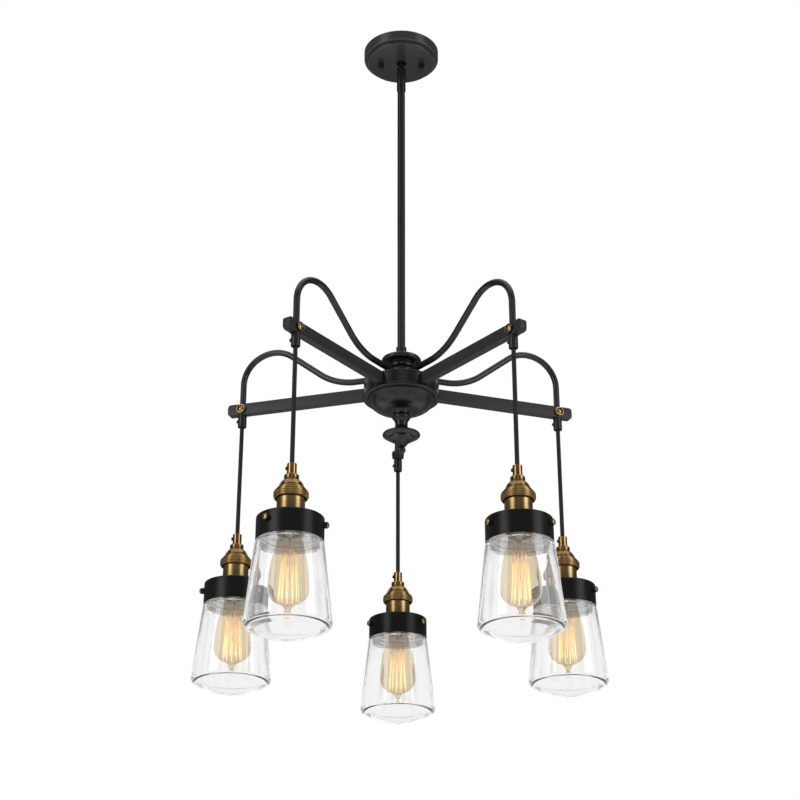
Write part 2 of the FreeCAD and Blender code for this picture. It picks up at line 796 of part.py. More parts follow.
def make_drum():
    """Drum open below, with a slot in its wall for each arm."""
    radius = S["drum_radius"]
    inside = radius - S["drum_wall"]
    height = S["arm_height"] + S["drum_plate"]
    drum_round = S["drum_round"]
    outline = [
        (inside, ZERO),
        (radius, ZERO),
        (radius, height - drum_round),
        Bend((radius - drum_round, height), drum_round),
        (pipe_bore, height),
        (pipe_bore, S["arm_height"]),
        (inside, S["arm_height"]),
    ]
    drum = turned("hub_drum", outline, on_axis(arm_bottom), about_z(FIRST_ARM_ANGLE))
    side = arm_thickness / 2 + seat_gap
    sketch = new_sketch(drum, "arm_slot_sketch", "YZ_Plane")
    high = S["arm_height"]
    corners = [FreeCAD.Vector(across, up, 0) for across, up in (
        (-side.value, 0), (side.value, 0), (side.value, high.value), (-side.value, high.value))]
    edges = [sketch.addGeometry(Part.LineSegment(corners[index], corners[(index + 1) % 4]))
             for index in range(4)]
    for index in range(4):
        joined = Sketcher.Constraint("Coincident", edges[index], 2, edges[(index + 1) % 4], 1)
        sketch.addConstraint(joined)
    for edge, direction in zip(edges[1:], ("Vertical", "Horizontal", "Vertical")):
        sketch.addConstraint(Sketcher.Constraint(direction, edge))
    sketch.addConstraint(Sketcher.Constraint("PointOnObject", edges[0], 1, -1))
    sketch.addConstraint(Sketcher.Constraint("Symmetric", edges[0], 1, edges[0], 2, -2))
    bind(sketch, Sketcher.Constraint("DistanceX", edges[0], 1, edges[0], 2, (side * 2).value), side * 2)
    bind(sketch, Sketcher.Constraint("DistanceY", edges[1], 1, edges[1], 2, high.value), high)
    doc.recompute()
    pocket = drum.newObject("PartDesign::Pocket", "arm_slot")
    pocket.Profile = sketch
    pocket.Type = "ThroughAll"
    pocket.Reversed = True
    doc.recompute()
    repeat_around(drum, pocket, ARM_COUNT)
    return drum


def make_bowl():
    """Stepped bowl that closes the drum from below."""
    rim = S["drum_radius"] + S["bowl_rim_overhang"]
    wall = S["bowl_wall"]
    rim_round = S["bowl_rim_round"]
    depth = S["bowl_depth"]
    step_top = depth - S["bowl_rim_height"]
    step = rim - S["bowl_step_width"]
    step_bottom = step_top - S["bowl_step_height"]
    floor = S["finial_base_radius"]
    outer_radius = swell_radius((floor, ZERO), (step, step_bottom), S["bowl_swell"])
    inner_foot = (floor, wall)
    inner_head = (step - wall, step_top)
    outline = [
        (pipe_bore, ZERO),
        (floor, ZERO),
        Bend((step, step_bottom), outer_radius),
        (step, step_top),
        (rim - rim_round, step_top),
        Bend((rim, step_top + rim_round), rim_round),
        (rim, depth - rim_round),
        Bend((rim - rim_round, depth), rim_round),
        (step - wall, depth),
        inner_head,
        Bend(inner_foot, swell_radius(inner_foot, inner_head, S["bowl_swell"]), -1),
        (pipe_bore, wall),
    ]
    return turned("hub_bowl", outline, on_axis(bowl_bottom))


def make_hub_pipe():
    """Threaded pipe through spool, drum and bowl into the finial."""
    pipe = S["hub_pipe_radius"]
    wire = S["hub_pipe_wire_radius"]
    head = rod_bottom + S["hub_pipe_gap"]
    foot = bowl_bottom + S["hub_pipe_thread"]
    length = foot - head
    outline = [(wire, ZERO), (pipe, ZERO), (pipe, length), (wire, length)]
    return turned("hub_pipe", outline, on_axis(foot))


def make_finial():
    """Finial: ball, cone, saucer, waist, ring and flared base, with a blind thread for the hub pipe."""
    ball = S["finial_ball_radius"]
    stalk = S["finial_stalk_radius"]
    stalk_height = ball + half_chord(ball, stalk)
    cone_foot = (S["finial_cone_radius"], stalk_height + S["finial_cone_lip"])
    step = S["saucer_step_radius"]
    cone_head = (step, cone_foot[1] + S["finial_cone_height"])
    step_top = cone_head[1] + S["saucer_step_height"]
    saucer = S["saucer_radius"]
    rim_round = S["saucer_rim_round"]
    rim_bottom = step_top + S["saucer_dish_height"]
    rim_top = rim_bottom + rim_round * 2
    slope_foot = (saucer - rim_round, rim_top)
    waist_foot = (S["finial_waist_radius"], rim_top + S["saucer_slope_height"])
    waist_head = waist_foot[1] + S["finial_waist_height"]
    ring = S["finial_ring_radius"]
    ring_round = S["finial_ring_round"]
    ring_foot = (ring - S["finial_ring_inset"], waist_head + S["finial_ring_rise"])
    ring_top = ring_foot[1] + ring_round * 2
    ring_swell = tangent_radius(ring_round, S["finial_ring_inset"])
    throat = (S["finial_throat_radius"], ring_top)
    base = (S["finial_base_radius"], ring_top + S["finial_base_height"])
    thread_foot = base[1] - S["hub_pipe_thread"] - seat_gap
    outline = [
        (ZERO, ZERO),
        Bend((stalk, stalk_height), ball),
        (stalk, cone_foot[1]),
        cone_foot,
        Bend(cone_head, swell_radius(cone_foot, cone_head, S["finial_cone_hollow"]), -1),
        (step, step_top),
        (saucer - rim_round, rim_bottom),
        Bend((saucer, rim_bottom + rim_round), rim_round),
        Bend(slope_foot, rim_round),
        Bend(waist_foot, swell_radius(slope_foot, waist_foot, S["saucer_slope_hollow"]), -1),
        (S["finial_waist_radius"], waist_head),
        ring_foot,
        Bend((ring, ring_foot[1] + ring_round), ring_swell),
        Bend((ring - S["finial_ring_inset"], ring_top), ring_swell),
        throat,
        Bend(base, swell_radius(throat, base, S["finial_base_hollow"]), -1),
        (pipe_bore, base[1]),
        (pipe_bore, thread_foot),
        (ZERO, thread_foot),
    ]
    return turned("finial", outline, on_axis(bowl_bottom + base[1]))


def make_arm(number, angle):
    """Flat bar with round corners at its end, bored for the conduit and for a screw on each side."""
    label = f"arm_{number}"
    body = new_body(label)
    high = S["arm_height"]
    end_round = S["arm_end_round"]
    tip = S["arm_reach"] + S["arm_overhang"]
    outline = [
        (S["arm_root"], ZERO),
        (tip - end_round, ZERO),
        Bend((tip, end_round), end_round),
        (tip, high - end_round),
        Bend((tip - end_round, high), end_round),
        (S["arm_root"], high),
    ]
    sketch = new_sketch(body, f"{label}_outline", "XZ_Plane")
    draw_outline(sketch, outline)
    pad = body.newObject("PartDesign::Pad", f"{label}_bar")
    pad.Profile = sketch
    pad.Midplane = True
    pad.setExpression("Length", arm_thickness.formula)
    place(body, on_axis(arm_bottom), about_z(angle))
    doc.recompute()
    edges = body.newObject("PartDesign::Fillet", f"{label}_edges")
    edges.Base = (pad, long_edges(pad.Shape))
    edges.setExpression("Radius", S["arm_edge"].formula)
    doc.recompute()
    conduit_hole = [(S["arm_reach"], ZERO, conduit_bore)]
    cut_through(body, f"{label}_conduit_hole", "XY_Plane", conduit_hole)
    screw_hole = [(S["arm_reach"], high / 2, S["arm_screw_radius"] + seat_gap)]
    cut_through(body, f"{label}_screw_hole", "XZ_Plane", screw_hole)
    return body


def long_edges(shape):
    """The names of the edges that run round the bar's two side faces, apart from its root."""
    names = []
    for index, edge in enumerate(shape.Edges, start=1):
        side_edge = abs(edge.BoundBox.YLength) < Part.Precision.confusion() * 10
        at_root = edge.BoundBox.XMax < (S["arm_root"] + S["arm_edge"]).value
        if side_edge and not at_root:
            names.append(f"Edge{index}")
    return names


def make_conduit(number, angle):
    """Bent tube from the arm's end, up over an arch, down a slope and level into the spool."""
    label = f"conduit_{number}"
    body = new_body(label)
    foot_drop = arm_top + conduit_seat
    reach = S["arm_reach"]
    arch = S["arch_radius"]
    sweep = S["sweep_radius"]
    slope = math.radians(S["conduit_slope"].value)
    slope_angle = Size(slope, f"{S['conduit_slope'].formula} * 1 deg")
    arch_height = conduit_seat + S["conduit_rise"]
    level_height = foot_drop - drum_top + S["conduit_entry"]
    arch_centre = FreeCAD.Vector((reach - arch).value, arch_height.value, 0)
    level = level_height.value
    # Where the straight slope leaves the arch and meets the sweep
    slope_head = arch_centre + FreeCAD.Vector(-math.sin(slope), math.cos(slope), 0) * arch.value
    slope_foot_height = level + sweep.value * (1 - math.cos(slope))
    slope_run = (slope_head.y - slope_foot_height) / math.tan(slope)
    slope_foot = FreeCAD.Vector(slope_head.x - slope_run, slope_foot_height, 0)
    sweep_centre = slope_foot + FreeCAD.Vector(-math.sin(slope), math.cos(slope), 0) * sweep.value
    up = FreeCAD.Vector(0, 0, 1)
    path = new_sketch(body, f"{label}_path", "XZ_Plane")
    foot = FreeCAD.Vector(reach.value, 0, 0)
    riser = path.addGeometry(Part.LineSegment(foot, FreeCAD.Vector(reach.value, arch_height.value, 0)))
    arch_circle = Part.Circle(arch_centre, up, arch.value)
    over = path.addGeometry(Part.ArcOfCircle(arch_circle, 0.0, math.pi / 2 + slope))
    fall = path.addGeometry(Part.LineSegment(slope_foot, slope_head))
    sweep_circle = Part.Circle(sweep_centre, up, sweep.value)
    ease = path.addGeometry(Part.ArcOfCircle(sweep_circle, -math.pi / 2, slope - math.pi / 2))
    run_end = FreeCAD.Vector(S["conduit_root"].value, level, 0)
    run = path.addGeometry(Part.LineSegment(FreeCAD.Vector(sweep_centre.x, level, 0), run_end))
    path.addConstraint([
        Sketcher.Constraint("PointOnObject", riser, 1, -1),
        Sketcher.Constraint("Vertical", riser),
        Sketcher.Constraint("Tangent", riser, 2, over, 1),
        Sketcher.Constraint("Tangent", over, 2, fall, 2),
        Sketcher.Constraint("Tangent", fall, 1, ease, 2),
        Sketcher.Constraint("Tangent", ease, 1, run, 1),
        Sketcher.Constraint("Horizontal", run),
    ])
    bind(path, Sketcher.Constraint("DistanceX", -1, 1, riser, 1, reach.value), reach)
    bind(path, Sketcher.Constraint("DistanceY", -1, 1, riser, 2, arch_height.value), arch_height)
    bind(path, Sketcher.Constraint("Radius", over, arch.value), arch)
    bind(path, Sketcher.Constraint("Radius", ease, sweep.value), sweep)
    bind(path, Sketcher.Constraint("Angle", fall, slope), slope_angle)
    bind(path, Sketcher.Constraint("DistanceX", -1, 1, run, 2, run_end.x), S["conduit_root"])
    bind(path, Sketcher.Constraint("DistanceY", -1, 1, run, 2, level), level_height)
    section = new_sketch(body, f"{label}_section", "XY_Plane")
    draw_circle(section, reach, ZERO, S["conduit_radius"])
    draw_circle(section, reach, ZERO, S["conduit_radius"] - S["conduit_wall"])
    tube = body.newObject("PartDesign::AdditivePipe", f"{label}_tube")
    tube.Profile = section
    tube.Spine = path
    place(body, on_axis(foot_drop), about_z(angle))
    doc.recompute()
    return body


def make_arm_screws(number, angle):
    """Brass screws and their cup washers, on both sides of an arm's end, held against the conduit."""
    shank = S["arm_screw_radius"]
    bore = shank + seat_gap
    head = S["arm_screw_head_radius"]
    dome = S["arm_screw_dome"]
    cup = head + S["arm_washer_room"]
    washer = cup + S["arm_washer_wall"]
    floor = S["arm_washer_floor"]
    head_foot = S["arm_cheek"] + floor
    head_top = head_foot + S["arm_screw_head_height"]
    screw_outline = [
        (ZERO, ZERO),
        (shank, ZERO),
        (shank, head_foot),
        (head, head_foot),
        (head, head_top - dome),
        Bend((ZERO, head_top), tangent_radius(head, dome)),
    ]
    washer_outline = [
        (bore, ZERO),
        (washer, ZERO),
        (cup, S["arm_washer_height"]),
        (cup, floor),
        (bore, floor),
    ]
    screws = []
    washers = []
    for side, sign in (("left", 1), ("right", -1)):
        heading = facing(angle + 90.0 * sign)
        screw_spot = at_arm(angle, S["arm_reach"], conduit_bore * sign, S["arm_drop"])
        washer_spot = at_arm(angle, S["arm_reach"], arm_thickness / 2 * sign, S["arm_drop"])
        screws.append(turned(f"arm_screw_{number}_{side}", screw_outline, screw_spot, heading))
        washers.append(turned(f"arm_washer_{number}_{side}", washer_outline, washer_spot, heading))
    return screws, washers


def make_cord_grip(number, angle):
    """Black grip under an arm, with a flared mouth that lets the cord swing."""
    length = S["grip_length"]
    grip_round = S["grip_round"]
    grip = cord_mouth + S["grip_lip"]
    spigot = S["conduit_radius"]
    wire = S["wire_radius"]
    pocket_top = S["mouth_depth"] + half_chord(cord_pocket, wire)
    spigot_top = length + S["grip_spigot_length"]
    outline = [
        (cord_mouth, ZERO),
        (grip - grip_round, ZERO),
        Bend((grip, grip_round), grip_round),
        (grip, length),
        (spigot, length),
        (spigot, spigot_top),
        (wire, spigot_top),
        (wire, pocket_top),
        Bend((cord_pocket, S["mouth_depth"]), cord_pocket, -1),
    ]
    return turned(f"cord_grip_{number}", outline, under_arm(angle, grip_bottom))


def make_cord(number, angle):
    """Straight round cord with rounded ends, from the grip's pocket down to the clamp's."""
    cord = S["cord_radius"]
    length = S["cord_span"] + cord * 2
    outline = [
        (ZERO, ZERO),
        Bend((cord, cord), cord),
        (cord, length - cord),
        Bend((ZERO, length), cord),
    ]
    return turned(f"cord_{number}", outline, under_arm(angle, cord_foot + cord))


def make_cord_clamp(number, angle):
    """Brass clamp at the cord's lower end, with a flared mouth on top."""
    length = S["clamp_length"]
    clamp_round = S["clamp_round"]
    clamp = cord_mouth + S["clamp_lip"]
    wire = S["wire_radius"]
    pocket_level = length - S["mouth_depth"]
    pocket_bottom = pocket_level - half_chord(cord_pocket, wire)
    outline = [
        (wire, ZERO),
        (clamp, ZERO),
        (clamp, length - clamp_round),
        Bend((clamp - clamp_round, length), clamp_round),
        (cord_mouth, length),
        (cord_pocket, pocket_level),
        Bend((wire, pocket_bottom), cord_pocket, -1),
    ]
    return turned(f"cord_clamp_{number}", outline, under_arm(angle, clamp_bottom))


def make_socket_cap(number, angle):
    """Spun brass cap: collar, swelling dome, ridged shoulder, and an overhanging skirt with a ridged band."""
    hollow = shell_bore + S["cap_skirt_room"]
    skirt = hollow + S["cap_skirt_wall"]
    dome = S["cap_dome_radius"]
    collar = S["cap_collar_radius"]
    collar_round = S["cap_collar_round"]
    shell_floor = S["shell_insert"] + seat_gap
    ridge_step = (skirt - dome) / CAP_RIDGE_COUNT
    outline = [
        (hollow, ZERO),
        (skirt - cap_skirt_round, ZERO),
        Bend((skirt, cap_skirt_round), cap_skirt_round),
        (skirt, cap_band_foot),
    ]
    ridge_heads = []
    for ridge in range(1, CAP_BAND_COUNT + 1):
        ridge_heads.append((skirt, cap_band_foot + S["cap_band_rise"] * ridge))
    for ridge in range(1, CAP_RIDGE_COUNT + 1):
        ridge_heads.append((skirt - ridge_step * ridge, cap_band_top + S["cap_ridge_rise"] * ridge))
    ridge_foot = outline[-1]
    for ridge_head in ridge_heads:
        outline.append(Bend(ridge_head, swell_radius(ridge_foot, ridge_head, S["cap_ridge_swell"])))
        ridge_foot = ridge_head
    dome_foot = (dome, cap_skirt_top)
    dome_head = (collar, cap_dome_top)
    outline += [
        Bend(dome_head, swell_radius(dome_foot, dome_head, S["cap_dome_swell"])),
        (collar, cap_height - collar_round),
        Bend((collar - collar_round, cap_height), collar_round),
        (S["wire_radius"], cap_height),
        (S["wire_radius"], shell_floor),
        (shell_bore, shell_floor),
        (shell_bore, S["cap_skirt_hollow"]),
        (hollow, S["cap_skirt_hollow"]),
    ]
    return turned(f"socket_cap_{number}", outline, under_arm(angle, cap_bottom))


def make_lamp_holder(number, angle):
    """Brass shell with a stop bead, insulating core with the bulb's socket, and ring under the fitter."""
    shell = S["shell_radius"]
    inside = shell - S["shell_wall"]
    bead = shell + S["shell_bead"]
    bead_foot = S["shell_tail"]
    bead_head = bead_foot + S["shell_bead_height"]
    shell_height = shell_bottom - shell_top
    shell_outline = [
        (inside, ZERO),
        (shell, ZERO),
        (shell, bead_foot),
        (bead, bead_foot),
        (bead, bead_head),
        (shell, bead_head),
        (shell, shell_height),
        (inside, shell_height),
    ]
    core = inside - seat_gap
    socket = S["bulb_base_radius"] + swing_gap
    socket_depth = S["core_socket_depth"]
    core_height = socket_depth + S["core_floor"]
    core_outline = [
        (socket, ZERO),
        (core, ZERO),
        (core, core_height),
        (S["wire_radius"], core_height),
        (S["wire_radius"], socket_depth),
        (socket, socket_depth),
    ]
    ring = shell_bore + S["fitter_ring_wall"]
    ring_round = S["fitter_ring_round"]
    ring_height = S["fitter_ring_height"]
    ring_outline = [
        (shell_bore, ZERO),
        (ring - ring_round, ZERO),
        Bend((ring, ring_round), ring_round),
        (ring, ring_height),
        (shell_bore, ring_height),
    ]
    ring_drop = fitter_top + S["fitter_wall"] + ring_height
    pieces = [
        turned(f"holder_shell_{number}", shell_outline, under_arm(angle, shell_bottom)),
        turned(f"holder_core_{number}", core_outline, under_arm(angle, core_bottom)),
        turned(f"fitter_ring_{number}", ring_outline, under_arm(angle, ring_drop)),
    ]
    return gathered(f"lamp_holder_{number}", pieces)


def make_fitter(number, angle, twist):
    """Black cup over the glass's neck, with three screw holes in its wall."""
    radius = S["fitter_radius"]
    wall = S["fitter_wall"]
    height = S["fitter_height"]
    top_round = S["fitter_round"]
    outline = [
        (radius - wall, ZERO),
        (radius, ZERO),
        (radius, height - top_round),
        Bend((radius - top_round, height), top_round),
        (shell_bore, height),
        (shell_bore, height - wall),
        (radius - top_round, height - wall),
        Bend((radius - wall, height - top_round), top_round - wall, -1),
    ]
    spot = under_arm(angle, fitter_bottom)
    fitter = turned(f"fitter_{number}", outline, spot, about_z(angle + twist))
    hole = [(ZERO, fitter_bottom - fitter_screw_level, S["fitter_screw_radius"] + seat_gap)]
    pocket = cut_through(fitter, f"fitter_{number}_screw_hole", "YZ_Plane", hole, two_sided=False)
    repeat_around(fitter, pocket, FITTER_SCREW_COUNT)
    return fitter


def make_fitter_screws(number, angle, twist):
    """Three screws with a black barrel and a domed brass button, pressed against the glass's neck."""
    shank = S["fitter_screw_radius"]
    barrel = S["fitter_barrel_radius"]
    button = S["fitter_button_radius"]
    tip_radius = glass_neck_radius + seat_gap
    barrel_foot = S["fitter_radius"] - tip_radius
    barrel_head = barrel_foot + S["fitter_barrel_length"]
    button_head = barrel_head + S["fitter_button_height"]
    dome = S["fitter_button_dome"]
    outline = [
        (ZERO, ZERO),
        (shank, ZERO),
        (shank, barrel_foot),
        (barrel, barrel_foot),
        (barrel, barrel_head),
        (button, barrel_head),
        (button, button_head - dome),
        Bend((ZERO, button_head), tangent_radius(button, dome)),
    ]
    screws = []
    middle = under_arm(angle, fitter_screw_level)
    for index in range(FITTER_SCREW_COUNT):
        heading = angle + twist + index * 360.0 / FITTER_SCREW_COUNT
        out = at_arm(heading, tip_radius, ZERO, ZERO)
        spot = (middle[0] + out[0], middle[1] + out[1], middle[2])
        screws.append(turned(f"fitter_screw_{number}_{index + 1}", outline, spot, facing(heading)))
    return gathered(f"fitter_screws_{number}", screws)


def make_glass_shade(number, angle):
    """Flared clear glass: lipped neck, shoulder, long body, rounded foot and domed closed bottom."""
    wall = S["glass_wall"]
    neck = glass_neck_radius
    lip = glass_lip_radius
    shoulder = neck + S["glass_shoulder_step"]
    shoulder_round = S["glass_shoulder_round"]
    foot = shoulder + S["glass_foot_flare"]
    foot_round = S["glass_foot_round"]
    dome = foot - foot_round - S["glass_foot_land"]
    dome_depth = S["glass_dome_depth"]
    foot_bottom = dome_depth + S["glass_foot_slope"]
    foot_top = foot_bottom + foot_round
    shoulder_level = foot_top + S["glass_body_height"]
    neck_top_level = shoulder_level + glass_shoulder - glass_top
    floor = S["glass_floor"]
    inner_dome = dome - wall
    inner_foot_bottom = foot_bottom + floor
    inner_foot_round = foot_round - wall
    outline = [
        (ZERO, ZERO),
        Bend((dome, dome_depth), tangent_radius(dome, dome_depth)),
        (foot - foot_round, foot_bottom),
        Bend((foot, foot_top), foot_round),
        (shoulder, shoulder_level - shoulder_round),
        Bend((shoulder - shoulder_round, shoulder_level), shoulder_round),
        (neck, shoulder_level),
        (neck, neck_top_level - S["glass_lip_height"]),
        (lip, neck_top_level - S["glass_lip_height"]),
        (lip, neck_top_level),
        (neck - wall, neck_top_level),
        (neck - wall, shoulder_level),
        (shoulder - wall, shoulder_level - wall),
        (foot - wall, inner_foot_bottom + inner_foot_round),
        Bend((foot - foot_round, inner_foot_bottom), inner_foot_round, -1),
        (inner_dome, dome_depth + floor),
        Bend((ZERO, floor), tangent_radius(inner_dome, dome_depth), -1),
    ]
    return turned(f"glass_shade_{number}", outline, under_arm(angle, glass_bottom))


def make_bulb(number, angle):
    """Long filament bulb: pear-shaped glass with a pip, glass stem, and screw base with its contact."""
    wall = S["bulb_glass_wall"]
    length = S["bulb_length"]
    base_foot = length - S["bulb_base_length"]
    tip = (S["bulb_tip_radius"], S["bulb_tip_height"])
    cheek = (S["bulb_cheek_radius"], S["bulb_cheek_height"])
    waist = (S["bulb_radius"], S["bulb_waist_height"])
    shoulder = (S["bulb_shoulder_radius"], base_foot - S["bulb_neck_height"])
    neck = S["bulb_base_radius"] - S["bulb_neck_inset"]
    inner_cheek = (cheek[0] - wall, cheek[1] + wall)
    inner_waist = (waist[0] - wall, waist[1])
    inner_shoulder = (shoulder[0] - wall, shoulder[1])
    belly = tangent_radius(waist[1] - cheek[1], waist[0] - cheek[0])
    side = tangent_radius(shoulder[1] - waist[1], waist[0] - shoulder[0])
    inner_belly = tangent_radius(inner_waist[1] - inner_cheek[1], inner_waist[0] - inner_cheek[0])
    glass_outline = [
        (ZERO, ZERO),
        Bend(tip, tangent_radius(tip[0], tip[1])),
        Bend(cheek, swell_radius(tip, cheek, S["bulb_cheek_hollow"]), -1),
        Bend(waist, belly),
        Bend(shoulder, side),
        (neck, base_foot),
        (neck - wall, base_foot),
        inner_shoulder,
        Bend(inner_waist, side, -1),
        Bend(inner_cheek, inner_belly, -1),
        (ZERO, inner_cheek[1]),
    ]
    base = S["bulb_base_radius"]
    contact = S["bulb_contact_radius"]
    base_length = S["bulb_base_length"]
    base_outline = [
        (ZERO, ZERO),
        (base, ZERO),
        (base, base_length - S["bulb_contact_slope"]),
        (contact, base_length),
        (ZERO, base_length),
    ]
    post = S["bulb_post_radius"]
    flare = S["bulb_stem_flare"]
    stem = neck - wall - S["bulb_stem_room"]
    stem_length = S["bulb_post_length"] + flare
    flare_hollow = tangent_radius(flare, stem - post)
    stem_outline = [
        (ZERO, ZERO),
        Bend((post, post), post),
        (post, S["bulb_post_length"]),
        Bend((stem, stem_length), flare_hollow, -1),
        (ZERO, stem_length),
    ]
    base_drop = bulb_top + base_length
    pieces = [
        turned(f"bulb_glass_{number}", glass_outline, under_arm(angle, bulb_tip)),
        turned(f"bulb_base_{number}", base_outline, under_arm(angle, base_drop)),
        turned(f"bulb_stem_{number}", stem_outline, under_arm(angle, base_drop + stem_length)),
    ]
    return gathered(f"bulb_{number}", pieces)


# Ceiling mount, rod and hub
nodes = [make_canopy(), make_crossbar(), *make_canopy_screws(), *make_swivel(), *make_rod()]
nodes += [make_spool(), make_drum(), make_bowl(), make_hub_pipe(), make_finial()]

# Arms with what they carry
arms = []
conduits = []
screws = []
washers = []
grips = []
for index in range(ARM_COUNT):
    arm_number = index + 1
    arm_angle = FIRST_ARM_ANGLE + index * ARM_STEP
    screw_twist = FITTER_SCREW_TWISTS[index]
    arms.append(make_arm(arm_number, arm_angle))
    conduits.append(make_conduit(arm_number, arm_angle))
    arm_screws, arm_washers = make_arm_screws(arm_number, arm_angle)
    screws += arm_screws
    washers += arm_washers
    grips.append(make_cord_grip(arm_number, arm_angle))
    nodes += [
        make_cord(arm_number, arm_angle),
        make_cord_clamp(arm_number, arm_angle),
        make_socket_cap(arm_number, arm_angle),
        make_lamp_holder(arm_number, arm_angle),
        make_fitter(arm_number, arm_angle, screw_twist),
        make_fitter_screws(arm_number, arm_angle, screw_twist),
        make_glass_shade(arm_number, arm_angle),
        make_bulb(arm_number, arm_angle),
    ]
nodes += [
    gathered("arms", arms),
    gathered("conduits", conduits),
    gathered("arm_screws", screws),
    gathered("arm_washers", washers),
    gathered("cord_grips", grips),
]

doc.recompute()
failed = [item.Name for item in doc.Objects if "Invalid" in item.State or "Error" in item.State]
if failed:
    raise RuntimeError(f"these objects failed: {failed}")
for node in nodes:
    if node.Shape.isNull() or not node.Shape.isValid():
        raise RuntimeError(f"{node.Label} has no valid shape")

os.makedirs("parts", exist_ok=True)
for node in nodes:
    node.Shape.exportStep(f"parts/{node.Label}.step")
print(f"{len(nodes)} nodes, {sum(len(node.Shape.Solids) for node in nodes)} solids")
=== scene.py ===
# %% [markdown]
# # A five-arm pendant light
#
# The light hangs from a round canopy on a thin rod. A turned hub carries five flat arms, a bent tube
# brings the wires from the hub to the end of each arm, and there a short cord holds a glass pendant
# with a brass lamp holder and a filament bulb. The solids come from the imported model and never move.
# This file only dresses them: each piece is made again as a fine mesh in the place of its solid, gets
# a finish made of nodes, and rides on the same body, so that it follows every joint.

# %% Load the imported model
import collections
import math

import bmesh
import bpy
from mathutils import Matrix, Vector


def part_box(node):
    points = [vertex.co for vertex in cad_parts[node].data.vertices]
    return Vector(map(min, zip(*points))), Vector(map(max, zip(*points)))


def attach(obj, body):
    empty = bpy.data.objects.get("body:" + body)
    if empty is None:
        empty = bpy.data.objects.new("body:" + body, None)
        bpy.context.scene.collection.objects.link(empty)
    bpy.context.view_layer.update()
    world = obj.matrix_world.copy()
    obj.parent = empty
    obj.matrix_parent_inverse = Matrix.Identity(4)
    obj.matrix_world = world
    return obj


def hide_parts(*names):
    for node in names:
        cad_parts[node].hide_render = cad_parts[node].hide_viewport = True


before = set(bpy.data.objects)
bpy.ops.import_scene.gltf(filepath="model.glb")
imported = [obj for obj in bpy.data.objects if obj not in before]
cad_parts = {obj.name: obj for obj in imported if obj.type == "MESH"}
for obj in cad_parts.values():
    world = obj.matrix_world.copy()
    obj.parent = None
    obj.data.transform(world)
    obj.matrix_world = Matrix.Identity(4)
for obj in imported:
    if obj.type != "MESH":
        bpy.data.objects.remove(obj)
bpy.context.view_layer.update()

MM = 0.001

# %% [markdown]
# ## Camera
#
# The light was seen from below and a little to the left of its middle plane. The camera's place, tilt
# and lens were worked out from the arm ends and the canopy's rim. A long lens keeps the pendants from
# spreading, so the distance matters as much as the angle.

# %% Camera
CAMERA_PLACE = (-0.0506, -2.296, -1.686)
CAMERA_PITCH = math.radians(24.16)
CAMERA_TURN = math.radians(-1.21)
CAMERA_LENS, SENSOR_WIDTH = 72.66, 36.0


def new_object(name, data):
    """An object in the scene that holds this data."""
    made = bpy.data.objects.new(name, data)
    bpy.context.scene.collection.objects.link(made)
    return made


camera = new_object("camera", bpy.data.cameras.new("camera"))
camera.data.lens = CAMERA_LENS
camera.data.sensor_width = SENSOR_WIDTH
camera.location = CAMERA_PLACE
camera.rotation_euler = (math.pi / 2 + CAMERA_PITCH, 0.0, CAMERA_TURN)
bpy.context.scene.camera = camera
bpy.context.scene.view_settings.view_transform = "Standard"
print("camera", [round(value, 3) for value in camera.location])

# %% [markdown]
# ## Helpers for finishes
#
# A finish is a tree of nodes round one Principled shader. `add_node` makes a node, sets its plain
# values and links the sockets that get another node's output, so a finish reads from top to bottom.
# Values that are the same all over a surface are set on the shader's own sockets, and `drive` links
# those that vary over it.


# %% Node helpers
def add_node(tree, kind, inputs=None, **settings):
    """A node with its settings, and its inputs set or linked by name or number."""
    made = tree.nodes.new(kind)
    for name, value in settings.items():
        setattr(made, name, value)
    for key, value in (inputs or {}).items():
        if isinstance(value, bpy.types.NodeSocket):
            tree.links.new(value, made.inputs[key])
        else:
            made.inputs[key].default_value = value
    return made


def new_finish(name, **sockets):
    """A material with one Principled shader, its constant sockets set by name."""
    finish = bpy.data.materials.new(name)
    finish.use_nodes = True
    shader = finish.node_tree.nodes["Principled BSDF"]
    for key, value in sockets.items():
        shader.inputs[key.replace("_", " ")].default_value = value
    return finish, finish.node_tree, shader


def drive(tree, shader, **sockets):
    """Links outputs to a shader's sockets by name."""
    for key, output in sockets.items():
        tree.links.new(output, shader.inputs[key.replace("_", " ")])


# %% [markdown]
# Every finish is a few patterns laid over each other. Noise gives clouds, grain and, when its space is
# stretched, brush lines. A ramp turns a pattern into colours, and a bump turns it into relief.

# %% Pattern helpers
NOISE_LOW, NOISE_HIGH = 0.3, 0.7


def own_place(tree):
    """The place on a piece in its object's coordinates."""
    return add_node(tree, "ShaderNodeTexCoord").outputs["Object"]


def attribute(tree, name):
    """The outputs that give a mesh's own attribute."""
    return add_node(tree, "ShaderNodeAttribute", attribute_name=name).outputs


def figure(tree, operation, *values):
    """The result of an operation on numbers or sockets."""
    return add_node(tree, "ShaderNodeMath", dict(enumerate(values)), operation=operation).outputs[0]


def noise(tree, vector, scale, detail=3.0, roughness=0.5):
    """A noise pattern's factor on a vector."""
    inputs = {"Vector": vector, "Scale": scale, "Detail": detail, "Roughness": roughness}
    return add_node(tree, "ShaderNodeTexNoise", inputs).outputs["Fac"]


def stretched(tree, vector, scale):
    """A vector scaled along its three axes."""
    return add_node(tree, "ShaderNodeMapping", {"Vector": vector, "Scale": scale}).outputs["Vector"]


def ramp(tree, factor, stops):
    """A colour between stops of (place, colour)."""
    made = add_node(tree, "ShaderNodeValToRGB", {"Fac": factor})
    marks = made.color_ramp.elements
    while len(marks) < len(stops):
        marks.new(0.5)
    for mark, (place, colour) in zip(marks, stops):
        mark.position = place
        mark.color = (*colour, 1.0)
    return made.outputs["Color"]


